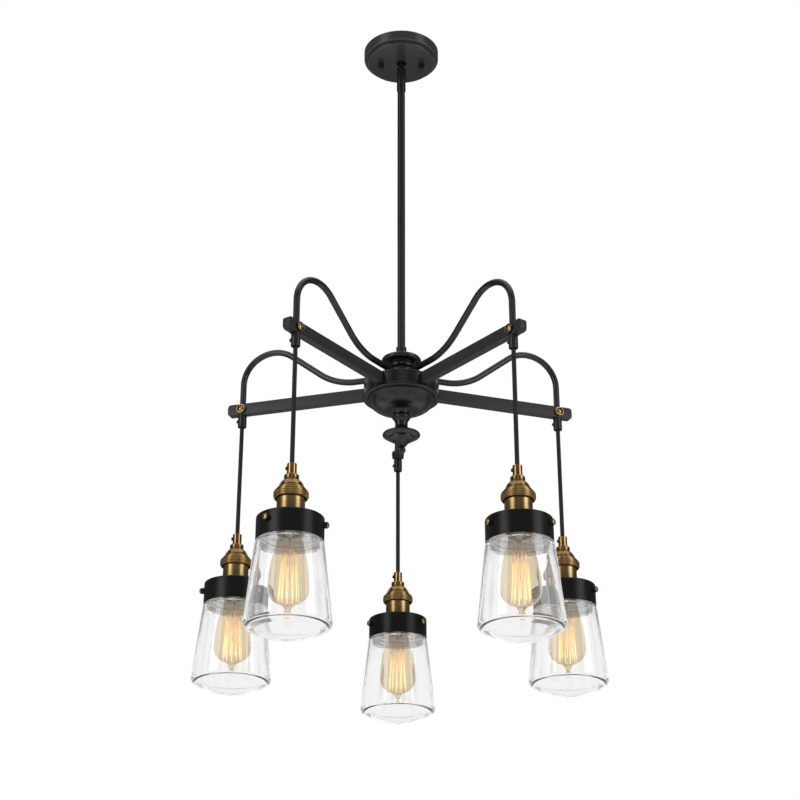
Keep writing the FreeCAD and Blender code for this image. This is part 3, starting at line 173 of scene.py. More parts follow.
def spread(tree, factor, middle, reach):
    """A noise factor, spread evenly to both sides of a middle value."""
    inputs = {"Value": factor, "From Min": NOISE_LOW, "From Max": NOISE_HIGH,
              "To Min": middle - reach, "To Max": middle + reach}
    return add_node(tree, "ShaderNodeMapRange", inputs).outputs["Result"]


def raise_grain(tree, shader, height, strength, depth):
    """Bumps a shader's surface by a pattern."""
    bump = add_node(tree, "ShaderNodeBump", {"Height": height, "Strength": strength, "Distance": depth})
    drive(tree, shader, Normal=bump.outputs["Normal"])


# %% [markdown]
# ## Black metal
#
# The canopy, rod, hub, arms and fitters are steel with a smooth black coat. Such a coat isn't one flat
# black: it clouds a little from thick to thin, and a very fine grain breaks up its gloss. The pieces
# were coated apart, so each kind has its own black: the hub is warm and glossy, the arms are cooler
# and duller, and the canopy is the palest.


# %% Black metal finish
def satin_black(name, dark, light, dull, specular):
    """Smooth black coat: clouds of two near tones, slightly uneven gloss and a very fine grain."""
    finish, tree, shader = new_finish(name, Specular_IOR_Level=specular)
    place = own_place(tree)
    tone = ramp(tree, noise(tree, place, scale=14.0), [(0.32, dark), (0.68, light)])
    gloss = spread(tree, noise(tree, place, scale=40.0), dull, 0.03)
    drive(tree, shader, Base_Color=tone, Roughness=gloss)
    raise_grain(tree, shader, noise(tree, place, scale=700.0, detail=2.0), strength=0.01, depth=0.00003)
    return finish


BLACKS = {
    # name: darker tone, lighter tone, dullness, specular level
    "hub_black": ((0.0052, 0.0048, 0.0044), (0.0078, 0.0072, 0.0066), 0.30, 0.50),
    "tube_black": ((0.0085, 0.0080, 0.0075), (0.0115, 0.0108, 0.0100), 0.22, 0.52),
    "arm_black": ((0.0290, 0.0290, 0.0335), (0.0340, 0.0340, 0.0390), 0.33, 0.26),
    "fitter_black": ((0.0070, 0.0070, 0.0078), (0.0095, 0.0095, 0.0105), 0.30, 0.20),
    "canopy_black": ((0.0340, 0.0340, 0.0340), (0.0390, 0.0390, 0.0390), 0.22, 0.50),
}
hub_black, tube_black, arm_black, fitter_black, canopy_black = (
    satin_black(name, *look) for name, look in BLACKS.items())
print("black finishes:", *BLACKS)

# %% [markdown]
# ## Aged brass
#
# The lamp holders, clamps and small screws are brass that was browned and then brushed back. On a
# turned piece the brushing runs round the axis, which draws the reflections out into soft upright
# bands. Here the upright bands of tone in the colour are partly uneven browning and partly painted
# reflections of that kind, and the brown stays in the grooves. Every turned mesh below carries two
# attributes. `lathe` holds its direction about its own axis and its height, so that noise on it gives
# bands and brush lines that follow the piece wherever it hangs, with no seam. `groove` is 1 in its
# hollow corners.

# %% Aged brass finish
GROOVE_BROWN = (0.035, 0.020, 0.008, 1.0)


def aged_brass(name, brown, gold, dull):
    """Browned brass, brushed back: upright bands of tone, partly painted reflection streaks, fine brush lines
    and uneven gloss.
    """
    finish, tree, shader = new_finish(name, Metallic=1.0)
    turn = attribute(tree, "lathe")["Vector"]
    # Upright bands of tone round the axis: partly uneven browning, partly painted reflection streaks of
    # brushed metal.
    band = noise(tree, stretched(tree, turn, (2.2, 2.2, 0.05)), scale=1.3, detail=2.0)
    stain = noise(tree, own_place(tree), scale=130.0, detail=4.0, roughness=0.6)
    mixed = figure(tree, "ADD", band, spread(tree, stain, 0.0, 0.03))
    tone = ramp(tree, mixed, [(0.34, brown), (0.66, gold)])
    hollow = attribute(tree, "groove")["Fac"]
    aged = add_node(tree, "ShaderNodeMix", {0: hollow, 6: tone, 7: GROOVE_BROWN}, data_type="RGBA")
    brushed = noise(tree, stretched(tree, turn, (0.6, 0.6, 90.0)), scale=3.0, roughness=0.6)
    drive(tree, shader, Base_Color=aged.outputs[2], Roughness=spread(tree, brushed, dull, 0.05))
    raise_grain(tree, shader, brushed, strength=0.02, depth=0.00002)
    return finish


BRASSES = {
    # name: browner tone, golder tone, dullness
    "shell_brass": ((0.44, 0.30, 0.122), (0.60, 0.425, 0.19), 0.31),
    "cap_brass": ((0.27, 0.155, 0.056), (0.44, 0.28, 0.110), 0.22),
    "screw_brass": ((0.36, 0.21, 0.07), (0.52, 0.33, 0.12), 0.22),
    "lip_brass": ((0.62, 0.47, 0.24), (0.78, 0.62, 0.36), 0.26),
}
shell_brass, cap_brass, screw_brass, lip_brass = (aged_brass(name, *look) for name, look in BRASSES.items())
print("brass finishes:", *BRASSES)

# %% [markdown]
# ## Cords
#
# Each cord is a short round flex that hangs dead straight, because the pendant's weight pulls it taut.
# It runs from the grip under the arm down into the brass clamp. The jacket is matt black with a faint
# fibre grain, which is noise drawn out along the cord.


# %% Cord jacket finish
def cord_jacket(name):
    """Matt black jacket with a faint grain along the cord."""
    finish, tree, shader = new_finish(name, Specular_IOR_Level=0.35)
    fibre = noise(tree, stretched(tree, own_place(tree), (1.0, 1.0, 0.06)), scale=600.0, detail=2.0)
    tone = ramp(tree, fibre, [(0.3, (0.009, 0.009, 0.010)), (0.7, (0.012, 0.012, 0.013))])
    drive(tree, shader, Base_Color=tone, Roughness=spread(tree, fibre, 0.50, 0.08))
    raise_grain(tree, shader, fibre, strength=0.01, depth=0.00003)
    return finish


jacket = cord_jacket("cord_jacket_black")
print("cord finish:", jacket.name)

# %% [markdown]
# A curve with a round bevel is the simplest true cord, since its own line is its length. Its ends are
# read from the solid's box, so it can't drift out of its grip and clamp.

# %% Hang the cords
ARM_NUMBERS = range(1, 6)
CORD_RADIUS = 3.3 * MM
CORD_POINTS, CORD_ROUNDNESS = 5, 8


def hang_cord(number):
    """The taut cord of one pendant, in the place of its solid. Gives its length."""
    low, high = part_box(f"cord_{number}")
    middle = (low + high) / 2
    curve = bpy.data.curves.new(f"flex_{number}", "CURVE")
    curve.dimensions = "3D"
    curve.bevel_depth = CORD_RADIUS
    curve.bevel_resolution = CORD_ROUNDNESS
    curve.use_fill_caps = True
    spline = curve.splines.new("NURBS")
    spline.points.add(CORD_POINTS - 1)
    for index, point in enumerate(spline.points):
        share = index / (CORD_POINTS - 1)
        point.co = (middle.x, middle.y, high.z + share * (low.z - high.z), 1.0)
    spline.order_u = 3
    spline.use_endpoint_u = True
    curve.materials.append(jacket)
    cord = new_object(f"flex_{number}", curve)
    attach(cord, f"hanging_cord_{number}")
    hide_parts(f"cord_{number}")
    return high.z - low.z


print("cord lengths in mm:", [round(hang_cord(number) / MM, 1) for number in ARM_NUMBERS])

# %% [markdown]
# ## Turned pieces
#
# Nearly everything here is turned or spun about an axis, so a few helpers do most of the work. An
# outline lists radius and height in millimetres, counter-clockwise, and a `Bend` is a corner reached
# by an arc. A modifier could spin the outline, but a mesh made point by point keeps clean quads and
# closed poles. First `trace` turns the arcs into points.

# %% Trace an outline
Bend = collections.namedtuple("Bend", "r z radius side", defaults=(1,))
ARC_STEP = math.radians(7.0)


def arc_points(start, bend):
    """Points along a bend after its start, which bulges to the right of the way, or left if side is -1."""
    chord = Vector((bend.r, bend.z)) - Vector(start)
    left = Vector((-chord.y, chord.x)).normalized()
    off = math.sqrt(max(bend.radius ** 2 - chord.length_squared / 4, 0.0))
    centre = Vector(start) + chord / 2 + left * off * bend.side
    sweep = 2 * math.asin(min(1.0, chord.length / 2 / bend.radius)) * bend.side
    count = max(2, math.ceil(abs(sweep) / ARC_STEP))
    spoke = Vector(start) - centre
    steps = [Matrix.Rotation(sweep * index / count, 2) @ spoke + centre for index in range(1, count)]
    return [tuple(point) for point in steps] + [(bend.r, bend.z)]


def trace(outline):
    """An outline's corners, with its bends turned into points."""
    points = []
    for step in outline:
        points += arc_points(points[-1], step) if isinstance(step, Bend) else [step]
    return points


# %% [markdown]
# No real edge is quite sharp. `ease` breaks every sharp corner by a hair, so that it catches light.
# `support` then adds a point close to each corner on the long straight runs. It keeps the smooth
# shading, and the brown of a groove, beside the corner instead of all along the run.

# %% Ease and support the corners
EDGE_BREAK, EASE_SHARE = 0.25, 0.45
SHARP_TURN, HOLLOW_TURN = math.radians(25.0), math.radians(14.0)
LONG_RUN, HOLD = 2.5, 0.8


def ease(points, radius):
    """The same closed outline with its sharp corners rounded."""
    eased = []
    for index, corner in enumerate(points):
        here = Vector(corner)
        before = Vector(points[index - 1]) - here
        after = Vector(points[(index + 1) % len(points)]) - here
        turn = math.pi - before.angle(after)
        if turn < SHARP_TURN or corner[0] == 0.0:
            eased.append(corner)
            continue
        room = min(radius * math.tan(turn / 2), before.length * EASE_SHARE, after.length * EASE_SHARE)
        first = here + before.normalized() * room
        last = here + after.normalized() * room
        middle = (first + last) / 4 + here / 2
        eased += [tuple(first), tuple(middle), tuple(last)]
    return eased


def support(points):
    """The same closed outline with points close to the corners of its long straight runs."""
    held = []
    for index, corner in enumerate(points):
        before, here, ahead, beyond = (
            Vector(points[(index + step) % len(points)]) for step in (-1, 0, 1, 2))
        run = ahead - here
        held.append(corner)
        if run.length > LONG_RUN and corner[0] + ahead.x > 0.0:
            hold = run.normalized() * HOLD
            if (here - before).angle(run, 0.0) > HOLLOW_TURN:
                held.append(tuple(here + hold))
            if run.angle(beyond - ahead, 0.0) > HOLLOW_TURN:
                held.append(tuple(ahead - hold))
    return held


# %% [markdown]
# Brown polish stays where a cloth can't reach, in the inner corners. An outline that runs
# counter-clockwise turns right in such a corner, so its signed angle tells where they are.

# %% Find the grooves
GROOVE_WIDTH, BESIDE_GROOVE = 0.9, 0.6


def is_hollow(points, index):
    """Whether an outline turns sharply inwards at a point."""
    before, here, ahead = (Vector(points[(index + step) % len(points)]) for step in (-1, 0, 1))
    return (here - before).angle_signed(ahead - here, 0.0) > HOLLOW_TURN


def hollowness(points, index):
    """1 in an outline's hollow corners, and less on points close beside them."""
    if is_hollow(points, index):
        return 1.0
    beside = [step % len(points) for step in (index - 1, index + 1)]
    close = [step for step in beside if math.dist(points[step], points[index]) < GROOVE_WIDTH]
    return BESIDE_GROOVE if any(is_hollow(points, step) for step in close) else 0.0


# %% [markdown]
# `spin` sweeps the points round into a closed mesh and stores the two attributes that the brass reads.
# A point on the axis stays a single point, and triangles close the mesh there.

# %% Spin
LATHE_PITCH = 20.0 * MM
SMOOTH_ANGLE = math.radians(32.0)


def smooth(mesh):
    """Smooth shading that keeps a mesh's sharp edges."""
    mesh.shade_smooth()
    mesh.set_sharp_from_angle(angle=SMOOTH_ANGLE)


def spin(name, points, segments):
    """A closed outline swept round the vertical, as a smooth mesh with its lathe and groove attributes."""
    circle = [(math.cos(step), math.sin(step))
              for step in (2 * math.pi * index / segments for index in range(segments))]
    places, turns, hollows, rings, faces = [], [], [], [], []
    for index, (radius, height) in enumerate(points):
        around = circle if radius > 0.0 else [(0.0, 0.0)]
        hollows += [hollowness(points, index)] * len(around)
        rings.append(range(len(places), len(places) + len(around)))
        places += [(radius * MM * x, radius * MM * y, height * MM) for x, y in around]
        turns += [(x, y, height * MM / LATHE_PITCH) for x, y in around]
    for ring, following in zip(rings, rings[1:] + rings[:1]):
        if len(ring) == 1 and len(following) == 1:
            continue
        for index in range(segments):
            after = (index + 1) % segments
            if len(ring) == 1:
                faces.append((ring[0], following[after], following[index]))
            elif len(following) == 1:
                faces.append((ring[index], ring[after], following[0]))
            else:
                faces.append((ring[index], ring[after], following[after], following[index]))
    mesh = bpy.data.meshes.new(name)
    mesh.from_pydata(places, [], faces)
    lathe = mesh.attributes.new("lathe", "FLOAT_VECTOR", "POINT")
    lathe.data.foreach_set("vector", [value for turn in turns for value in turn])
    mesh.attributes.new("groove", "FLOAT", "POINT").data.foreach_set("value", hollows)
    smooth(mesh)
    return mesh


def turned(name, outline, segments, edge=EDGE_BREAK):
    """A turned mesh from an outline."""
    return spin(name, support(ease(trace(outline), edge)), segments)


# %% [markdown]
# Every finished mesh becomes a piece in the same way: it is put in its place, gets its finish, rides
# on a body, and stands for the solid that it covers. A piece's object stays at the origin and its
# place is in its mesh, as with the solids.


# %% Piece helpers
def add_piece(name, mesh, finish, body, slot, *stands_for):
    """A mesh as a piece on a body, in place of its solids."""
    mesh.materials.clear()
    mesh.materials.append(finish)
    piece = new_object(name, mesh)
    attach(piece, body)
    if stands_for:
        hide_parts(*stands_for)
    return piece


def lifted(mesh, drop, x=0.0, y=0.0):
    """A mesh moved out by x and y, with its own zero this far below the ceiling, in millimetres."""
    mesh.transform(Matrix.Translation((x * MM, y * MM, -drop * MM)))
    return mesh


def add_turned(name, outline, foot, segments, finish, solid, body="frame"):
    """A turned black piece about the middle line, its foot this far below the ceiling."""
    add_piece(name, lifted(turned(name, outline, segments), foot), finish, body, "black_metal", solid)


# %% [markdown]
# ## Canopy, rod and sleeve
#
# The canopy is a spun steel dish: a rim wall, a shallow step and a flat face. The rod leaves it
# through a hole, hangs on a ball inside, and is gripped by a plain sleeve. A ring nut stops it at the
# hub.

# %% Canopy and rod
CANOPY_DEPTH, ROD_LENGTH = 22.5, 545.9
canopy_outline = [
    (8.5, 0.0), (55.0, 0.0), Bend(57.0, 2.0, 2.0), (57.0, 5.5), (60.5, 5.5), Bend(63.5, 8.5, 3.0),
    (63.5, 22.5), (62.3, 22.5), (62.3, 8.5), Bend(60.5, 6.7, 1.8, -1), (55.8, 6.7), (55.8, 2.0),
    Bend(55.0, 1.2, 0.8, -1), (8.5, 1.2)]
neck_outline = [
    (2.0, 0.0), (4.4, 0.0), (4.4, 18.0), (5.6, 18.0), (5.6, 24.5), (3.6, 24.5), (3.6, 35.05),
    Bend(2.0, 46.64, 6.5)]
sleeve_outline = [
    (6.45, 0.0), (7.6, 0.0), (7.6, 43.8), Bend(5.4, 46.0, 2.2), (4.5, 46.0), (4.5, 28.0), (6.45, 28.0)]
rod_outline = [(4.95, 0.0), (6.35, 0.0), (6.35, ROD_LENGTH), (4.95, ROD_LENGTH)]
nut_outline = [(6.45, 0.0), (8.35, 0.0), (8.35, 12.5), Bend(6.85, 14.0, 1.5), (6.45, 14.0)]

add_turned("canopy_dish", canopy_outline, foot=CANOPY_DEPTH, segments=160, finish=canopy_black,
           solid="canopy", body="ceiling_mount")
add_turned("swivel_neck", neck_outline, foot=50.0, segments=64, finish=hub_black, solid="swivel_ball")
add_turned("sleeve", sleeve_outline, foot=78.0, segments=64, finish=tube_black, solid="rod_sleeve")
add_turned("rod", rod_outline, foot=595.9, segments=64, finish=tube_black, solid="downrod")
add_turned("ring_nut", nut_outline, foot=578.9, segments=64, finish=hub_black, solid="rod_collar")
print("canopy", CANOPY_DEPTH, "mm deep; rod", ROD_LENGTH, "mm long")

# %% [markdown]
# Inside the canopy hide the crossbar, the screws, the cup and its liner. Their solids are plain
# machined shapes, so they stay as they are and only get a finish: plated steel with a faint speckle
# for the hardware, milky plastic for the liner.


# %% Hidden hardware
def speckled(name, dark, light, metallic, dull):
    """A plain machined or moulded surface with a faint speckle."""
    finish, tree, shader = new_finish(name, Metallic=metallic)
    speckle = noise(tree, own_place(tree), scale=300.0, detail=4.0, roughness=0.6)
    tone = ramp(tree, speckle, [(0.3, dark), (0.7, light)])
    drive(tree, shader, Base_Color=tone, Roughness=spread(tree, speckle, dull, 0.08))
    raise_grain(tree, shader, speckle, strength=0.1, depth=0.0001)
    return finish


plated = speckled("plated_steel", (0.42, 0.42, 0.43), (0.60, 0.60, 0.61), metallic=1.0, dull=0.34)
milky = speckled("liner_milky", (0.62, 0.61, 0.57), (0.72, 0.71, 0.68), metallic=0.0, dull=0.5)
HIDDEN = {"crossbar": plated, "canopy_screws": plated, "hub_pipe": plated, "swivel_cup": hub_black,
          "swivel_liner": milky}
for node, finish in HIDDEN.items():
    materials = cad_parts[node].data.materials
    materials.clear()
    materials.append(finish)
print("hidden solids kept:", *HIDDEN)

# %% [markdown]
# ## Hub
#
# The hub is a stack of turned pieces: a flanged spool, a drum with a slot for each arm, a stepped bowl
# that closes it from below, and a finial. Long shallow curves are given by how far they swell off
# their chord, which is how they were read off the object.


# %% Spool, bowl and finial
def swell(start, end, rise):
    """A bend to an end point, whose middle stands this far off the chord, hollow if below zero."""
    half = math.dist(start, end) / 2
    return Bend(*end, (half ** 2 + rise ** 2) / abs(2 * rise), math.copysign(1, rise))


spool_outline = [
    (5.1, 0.0), (17.0, 0.0), (17.0, 19.0), Bend(21.5, 26.0, 7.694, -1), (21.5, 30.0),
    Bend(19.5, 32.0, 2.0), (19.5, 35.0), (27.0, 35.0), Bend(31.5, 39.5, 4.5), Bend(27.0, 44.0, 4.5),
    (11.0, 44.0), (11.0, 50.0), (6.45, 50.0), (6.45, 33.0), (5.1, 33.0)]
bowl_outline = [
    (5.1, 0.0), (16.5, 0.0), swell((16.5, 0.0), (53.1, 16.9), 7.0), (53.1, 18.5), (57.8, 18.5),
    Bend(60.0, 20.7, 2.2), (60.0, 22.3), Bend(57.8, 24.5, 2.2), (5.1, 24.5)]
finial_outline = [
    (0.0, 0.0), Bend(4.2, 11.69, 6.6), (4.2, 12.69), (7.0, 12.69),
    swell((7.0, 12.69), (20.0, 24.19), -1.6), (20.0, 26.79), (27.1, 29.19), Bend(29.3, 31.39, 2.2),
    Bend(27.1, 33.59, 2.2), swell((27.1, 33.59), (10.0, 45.59), -3.4), (10.0, 52.59), (12.4, 57.59),
    Bend(14.4, 61.19, 4.24), Bend(12.4, 64.79, 4.24), (12.0, 64.79),
    swell((12.0, 64.79), (16.5, 72.79), -1.4), (0.0, 72.79)]

add_turned("spool", spool_outline, foot=628.9, segments=128, finish=hub_black, solid="hub_spool")
add_turned("bowl", bowl_outline, foot=674.0, segments=160, finish=hub_black, solid="hub_bowl")
add_turned("finial_turned", finial_outline, foot=746.79, segments=128, finish=hub_black, solid="finial")
print("hub stack: spool, bowl and finial")

# %% [markdown]
# The drum isn't round all the way, since each arm passes through a slot in its wall. It is made of a
# turned top plate and five wall pieces between the slots. `loft` joins loops of points into a closed
# skin, which serves for the wall pieces here and for the arms after them.

# %% Drum
FIRST_ARM, ARM_STEP = -54.0, 72.0
ARM_ANGLES = {number: math.radians(FIRST_ARM + ARM_STEP * (number - 1)) for number in ARM_NUMBERS}
DRUM_FOOT, DRUM_RADIUS, DRUM_WALL = 649.5, 59.0, 3.0
SLOT_HEIGHT, SLOT_HALF, SLOT_EDGE = 19.0, 6.15, 0.7
WALL_STEPS = 20


def loft(shape, loops):
    """Adds to a bmesh a closed skin through equal loops of points, with flat ends."""
    rows = [[shape.verts.new([value * MM for value in point]) for point in loop] for loop in loops]
    for row, following in zip(rows, rows[1:]):
        for index in range(len(row)):
            shape.faces.new((row[index - 1], row[index], following[index], following[index - 1]))
    shape.faces.new(reversed(rows[0]))
    shape.faces.new(rows[-1])


def set_free(shape, name):
    """The mesh of a bmesh, which ends there."""
    mesh = bpy.data.meshes.new(name)
    shape.to_mesh(mesh)
    shape.free()
    return mesh


def wall_plan(angle):
    """The plan of the wall between an arm's slot and the next, with its corners eased."""
    points = []
    for radius, way in ((DRUM_RADIUS, 1), (DRUM_RADIUS - DRUM_WALL, -1)):
        inset = math.asin(SLOT_HALF / radius)
        run = math.radians(ARM_STEP) - 2 * inset
        steps = [angle + inset + run * index / WALL_STEPS for index in range(WALL_STEPS + 1)][::way]
        points += [(radius * math.cos(step), radius * math.sin(step)) for step in steps]
    return ease(points, SLOT_EDGE)


shape = bmesh.new()
plate_outline = [(5.1, 19.0), (59.0, 19.0), (59.0, 19.4), Bend(57.8, 20.6, 1.2), (5.1, 20.6)]
shape.from_mesh(turned("plate", plate_outline, 160))
for angle in ARM_ANGLES.values():
    plan = wall_plan(angle)
    loft(shape, [[(x, y, height) for x, y in plan] for height in (0.0, SLOT_HEIGHT)])
drum = set_free(shape, "drum")
smooth(drum)
add_piece("drum", lifted(drum, DRUM_FOOT), hub_black, "frame", "black_metal", "hub_drum")
print("drum with", len(ARM_ANGLES), "slots")

# %% [markdown]
# ## Arms
#
# Each arm is a flat steel bar on edge, with round corners at its end and lightly broken edges. A few
# loops do for it: the side outline, drawn smaller towards each face to make the broken edge.

# %% Arms
ARM_DROP, ARM_ROOT, ARM_TIP, ARM_HALF_HEIGHT, ARM_HALF_WIDTH = 640.0, 22.0, 289.5, 9.5, 6.05
ARM_EDGE, ARM_CORNER = 0.8, 5.3
CORNER_STEPS, EDGE_STEPS = 14, 4


def quarter_turn(steps):
    """Angles from nothing to a right angle."""
    return [math.pi / 2 * index / steps for index in range(steps + 1)]


def bar_outline(inset):
    """The side outline of an arm, set in from its full size."""
    half, radius = ARM_HALF_HEIGHT - inset, ARM_CORNER - inset
    end = [(ARM_TIP - ARM_CORNER + radius * math.sin(turn),
            ARM_CORNER - ARM_HALF_HEIGHT - radius * math.cos(turn)) for turn in quarter_turn(CORNER_STEPS)]
    return [(ARM_ROOT, half), (ARM_ROOT, -half), *end, *((x, -z) for x, z in end[::-1])]


layers = [(ARM_EDGE * (1 - math.sin(turn)), ARM_HALF_WIDTH - ARM_EDGE * (1 - math.cos(turn)))
          for turn in quarter_turn(EDGE_STEPS)]
layers += [(inset, -side) for inset, side in layers[::-1]]
shape = bmesh.new()
loft(shape, [[(x, side, z) for x, z in bar_outline(inset)] for inset, side in layers])
bar = set_free(shape, "bar")

shape = bmesh.new()
for angle in ARM_ANGLES.values():
    copy = bar.copy()
    copy.transform(Matrix.Rotation(angle, 4, "Z"))
    shape.from_mesh(copy)
bars = set_free(shape, "bars")
smooth(bars)
add_piece("bars", lifted(bars, ARM_DROP), arm_black, "frame", "black_metal", "arms")
print("arms:", len(ARM_ANGLES), "of", ARM_TIP - ARM_ROOT, "mm")

# %% [markdown]
# ## Conduits
#
# A conduit is thin steel tube bent twice over a form: it leaves the spool level, climbs a slope, goes
# over an arch and drops plumb into the arm's end. One could be drawn as a curve and copied by hand,
# but Geometry Nodes do both from a few sizes. These helpers serve every node group: it gets named
# inputs, it ends in real geometry with a material, and a plain mesh is read from its result before
# that becomes a piece.


# %% Node group helpers
def node_group(name, sockets):
    """A geometry node group with its inputs, and the outputs that give them."""
    tree = bpy.data.node_groups.new(name, "GeometryNodeTree")
    tree.interface.new_socket("Geometry", in_out="INPUT", socket_type="NodeSocketGeometry")
    for label, kind in sockets:
        tree.interface.new_socket(label, in_out="INPUT", socket_type=f"NodeSocket{kind}")
    tree.interface.new_socket("Geometry", in_out="OUTPUT", socket_type="NodeSocketGeometry")
    return tree, tree.nodes.new("NodeGroupInput").outputs


def end_group(tree, entry, shape):
    """Closes a node group: real geometry with its material."""
    solid = add_node(tree, "GeometryNodeRealizeInstances", {"Geometry": shape})
    dressed = add_node(tree, "GeometryNodeSetMaterial",
                       {"Geometry": solid.outputs[0], "Material": entry["Material"]})
    add_node(tree, "NodeGroupOutput", {"Geometry": dressed.outputs[0]})


def grown(name, tree, source, **values):
    """The plain mesh that a node group makes from a source mesh."""
    grower = new_object(name, source)
    modifier = grower.modifiers.new("nodes", "NODES")
    modifier.node_group = tree
    for item in tree.interface.items_tree:
        if item.in_out == "INPUT" and item.name in values:
            modifier[item.identifier] = values[item.name]
    bpy.context.view_layer.update()
    made = bpy.data.meshes.new_from_object(grower.evaluated_get(bpy.context.evaluated_depsgraph_get()))
    made.name = name
    bpy.data.objects.remove(grower)
    smooth(made)
    return made


def swept(tree, path, radius, sides):
    """A round solid swept along a curve."""
    ring = add_node(tree, "GeometryNodeCurvePrimitiveCircle", {"Resolution": sides, "Radius": radius})
    return add_node(tree, "GeometryNodeCurveToMesh", {
        "Curve": path, "Profile Curve": ring.outputs[0], "Fill Caps": True}).outputs[0]


# %% [markdown]
# A conduit's path is four points. The fillet node rounds its two corners, each by its own radius, a
# circle is swept along it, and the tube is repeated about the middle line.

# %% Conduits
CONDUIT_POINTS = [(266.0, -645.5), (266.0, -491.46), (108.01, -614.9), (11.0, -614.9)]
CONDUIT_BENDS = [0.0, 50.5, 97.0, 0.0]
TUBE_SIDES = 28


def conduit_group():
    """Tube along a path whose corners are bent by the radius in their bend attribute, repeated around."""
    tree, entry = node_group("bent_tubes", [
        ("TubeRadius", "Float"), ("BendSteps", "Int"), ("Copies", "Int"), ("FirstAngle", "Float"),
        ("Material", "Material")])
    path = add_node(tree, "GeometryNodeMeshToCurve", {"Mesh": entry["Geometry"]})
    bend = add_node(tree, "GeometryNodeInputNamedAttribute", {"Name": "bend"}, data_type="FLOAT")
    bent = add_node(tree, "GeometryNodeFilletCurve", {
        "Curve": path.outputs[0], "Count": entry["BendSteps"], "Radius": bend.outputs[0]}, mode="POLY")
    tube = swept(tree, bent.outputs[0], entry["TubeRadius"], TUBE_SIDES)
    spots = add_node(tree, "GeometryNodePoints", {"Count": entry["Copies"]})
    step = figure(tree, "DIVIDE", 2 * math.pi, entry["Copies"])
    index = add_node(tree, "GeometryNodeInputIndex").outputs[0]
    turn = figure(tree, "MULTIPLY_ADD", index, step, entry["FirstAngle"])
    heading = add_node(tree, "ShaderNodeCombineXYZ", {"Z": turn})
    copies = add_node(tree, "GeometryNodeInstanceOnPoints", {
        "Points": spots.outputs[0], "Instance": tube, "Rotation": heading.outputs[0]})
    end_group(tree, entry, copies.outputs[0])
    return tree


path = bpy.data.meshes.new("conduit_path")
path.from_pydata([(x * MM, 0.0, z * MM) for x, z in CONDUIT_POINTS],
                 [(index, index + 1) for index in range(len(CONDUIT_POINTS) - 1)], [])
path.attributes.new("bend", "FLOAT", "POINT").data.foreach_set("value", [bend * MM for bend in CONDUIT_BENDS])
tubes = grown("tubes", conduit_group(), path, TubeRadius=5.0 * MM, BendSteps=24, Copies=len(ARM_ANGLES),
              FirstAngle=ARM_ANGLES[1], Material=tube_black)
add_piece("tubes", tubes, tube_black, "frame", "black_metal", "conduits")
print("conduits:", len(tubes.polygons), "faces")

# %% [markdown]
# ## Screws, washers and grips
#
# The small fasteners repeat, so each is turned once and copied by a second node group onto points that
# know which way they face. Copies of an object would do as well, but a point and a facing say all that
# a fastener needs, and the copies come out as one piece.


# %% Fastener group
def fastener_group():
    """Copies of a fastener on points, each turned to face along the points' facing attribute."""
    tree, entry = node_group("fasteners", [("Fastener", "Object"), ("Material", "Material")])
    model = add_node(tree, "GeometryNodeObjectInfo", {"Object": entry["Fastener"], "As Instance": True})
    facing = add_node(tree, "GeometryNodeInputNamedAttribute", {"Name": "facing"}, data_type="FLOAT_VECTOR")
    turn = add_node(tree, "FunctionNodeAlignRotationToVector", {"Vector": facing.outputs[0]}, axis="Z")
    copies = add_node(tree, "GeometryNodeInstanceOnPoints", {
        "Points": entry["Geometry"], "Instance": model.outputs["Geometry"], "Rotation": turn.outputs[0]})
    end_group(tree, entry, copies.outputs[0])
    return tree


FASTENERS = fastener_group()


def add_fasteners(name, model, spots, finish, body, slot, *stands_for):
    """One piece of copies of a model at (place in mm, facing) spots."""
    points = bpy.data.meshes.new(f"{name}_spots")
    points.from_pydata([[value * MM for value in place] for place, _ in spots], [], [])
    facing = points.attributes.new("facing", "FLOAT_VECTOR", "POINT")
    facing.data.foreach_set("vector", [value for _, way in spots for value in way])
    fastener = new_object(f"{name}_model", model)
    made = grown(name, FASTENERS, points, Fastener=fastener, Material=finish)
    bpy.data.objects.remove(fastener)
    add_piece(name, made, finish, body, slot, *stands_for)


print("node group:", FASTENERS.name)

# %% [markdown]
# On both sides of each arm's end a black cup washer with a bright brass lip holds a domed brass screw.
# The lip is a piece of its own, since it is bare metal where the cup is coated.

# %% Washers and screws on the arms
REACH = 266.0


def out_from(angle, out, across=0.0, up=0.0):
    """A place out along a heading, across it and up, in millimetres."""
    x = out * math.cos(angle) - across * math.sin(angle)
    y = out * math.sin(angle) + across * math.cos(angle)
    return (x, y, up)


sides = [(out_from(angle, REACH, ARM_HALF_WIDTH * side, -ARM_DROP), out_from(angle, 0.0, side))
         for angle in ARM_ANGLES.values() for side in (1, -1)]
washer_outline = [(2.1, 0.0), (7.25, 0.0), (7.0, 3.4), (6.0, 3.4), (5.8, 1.6), (2.1, 1.6)]
lip_outline = [(6.15, 3.2), (6.95, 3.2), (6.95, 4.0), (6.15, 4.0)]
screw_outline = [(0.0, -4.0), (2.0, -4.0), (2.0, 1.6), (4.7, 1.6), (4.7, 2.9),
                 swell((4.7, 2.9), (0.0, 4.6), 0.45)]
washer = turned("washer", washer_outline, 48, edge=0.15)
lip = turned("lip", lip_outline, 48, edge=0.2)
screw_head = turned("screw_head", screw_outline, 48, edge=0.15)
add_fasteners("cup_washers", washer, sides, fitter_black, "frame", "black_metal", "arm_washers")
add_fasteners("washer_lips", lip, sides, lip_brass, "frame", "antique_brass")
add_fasteners("domed_screws", screw_head, sides, screw_brass, "frame", "antique_brass", "arm_screws")
print("washers and screws:", len(sides))

# %% [markdown]
# Under each arm sits a black cord grip, and a tiny black screw pinches each grip and the rod's sleeve.
# Two closed knobs hold the canopy up. They are all turned, like the washers, and only their places and
# headings differ.

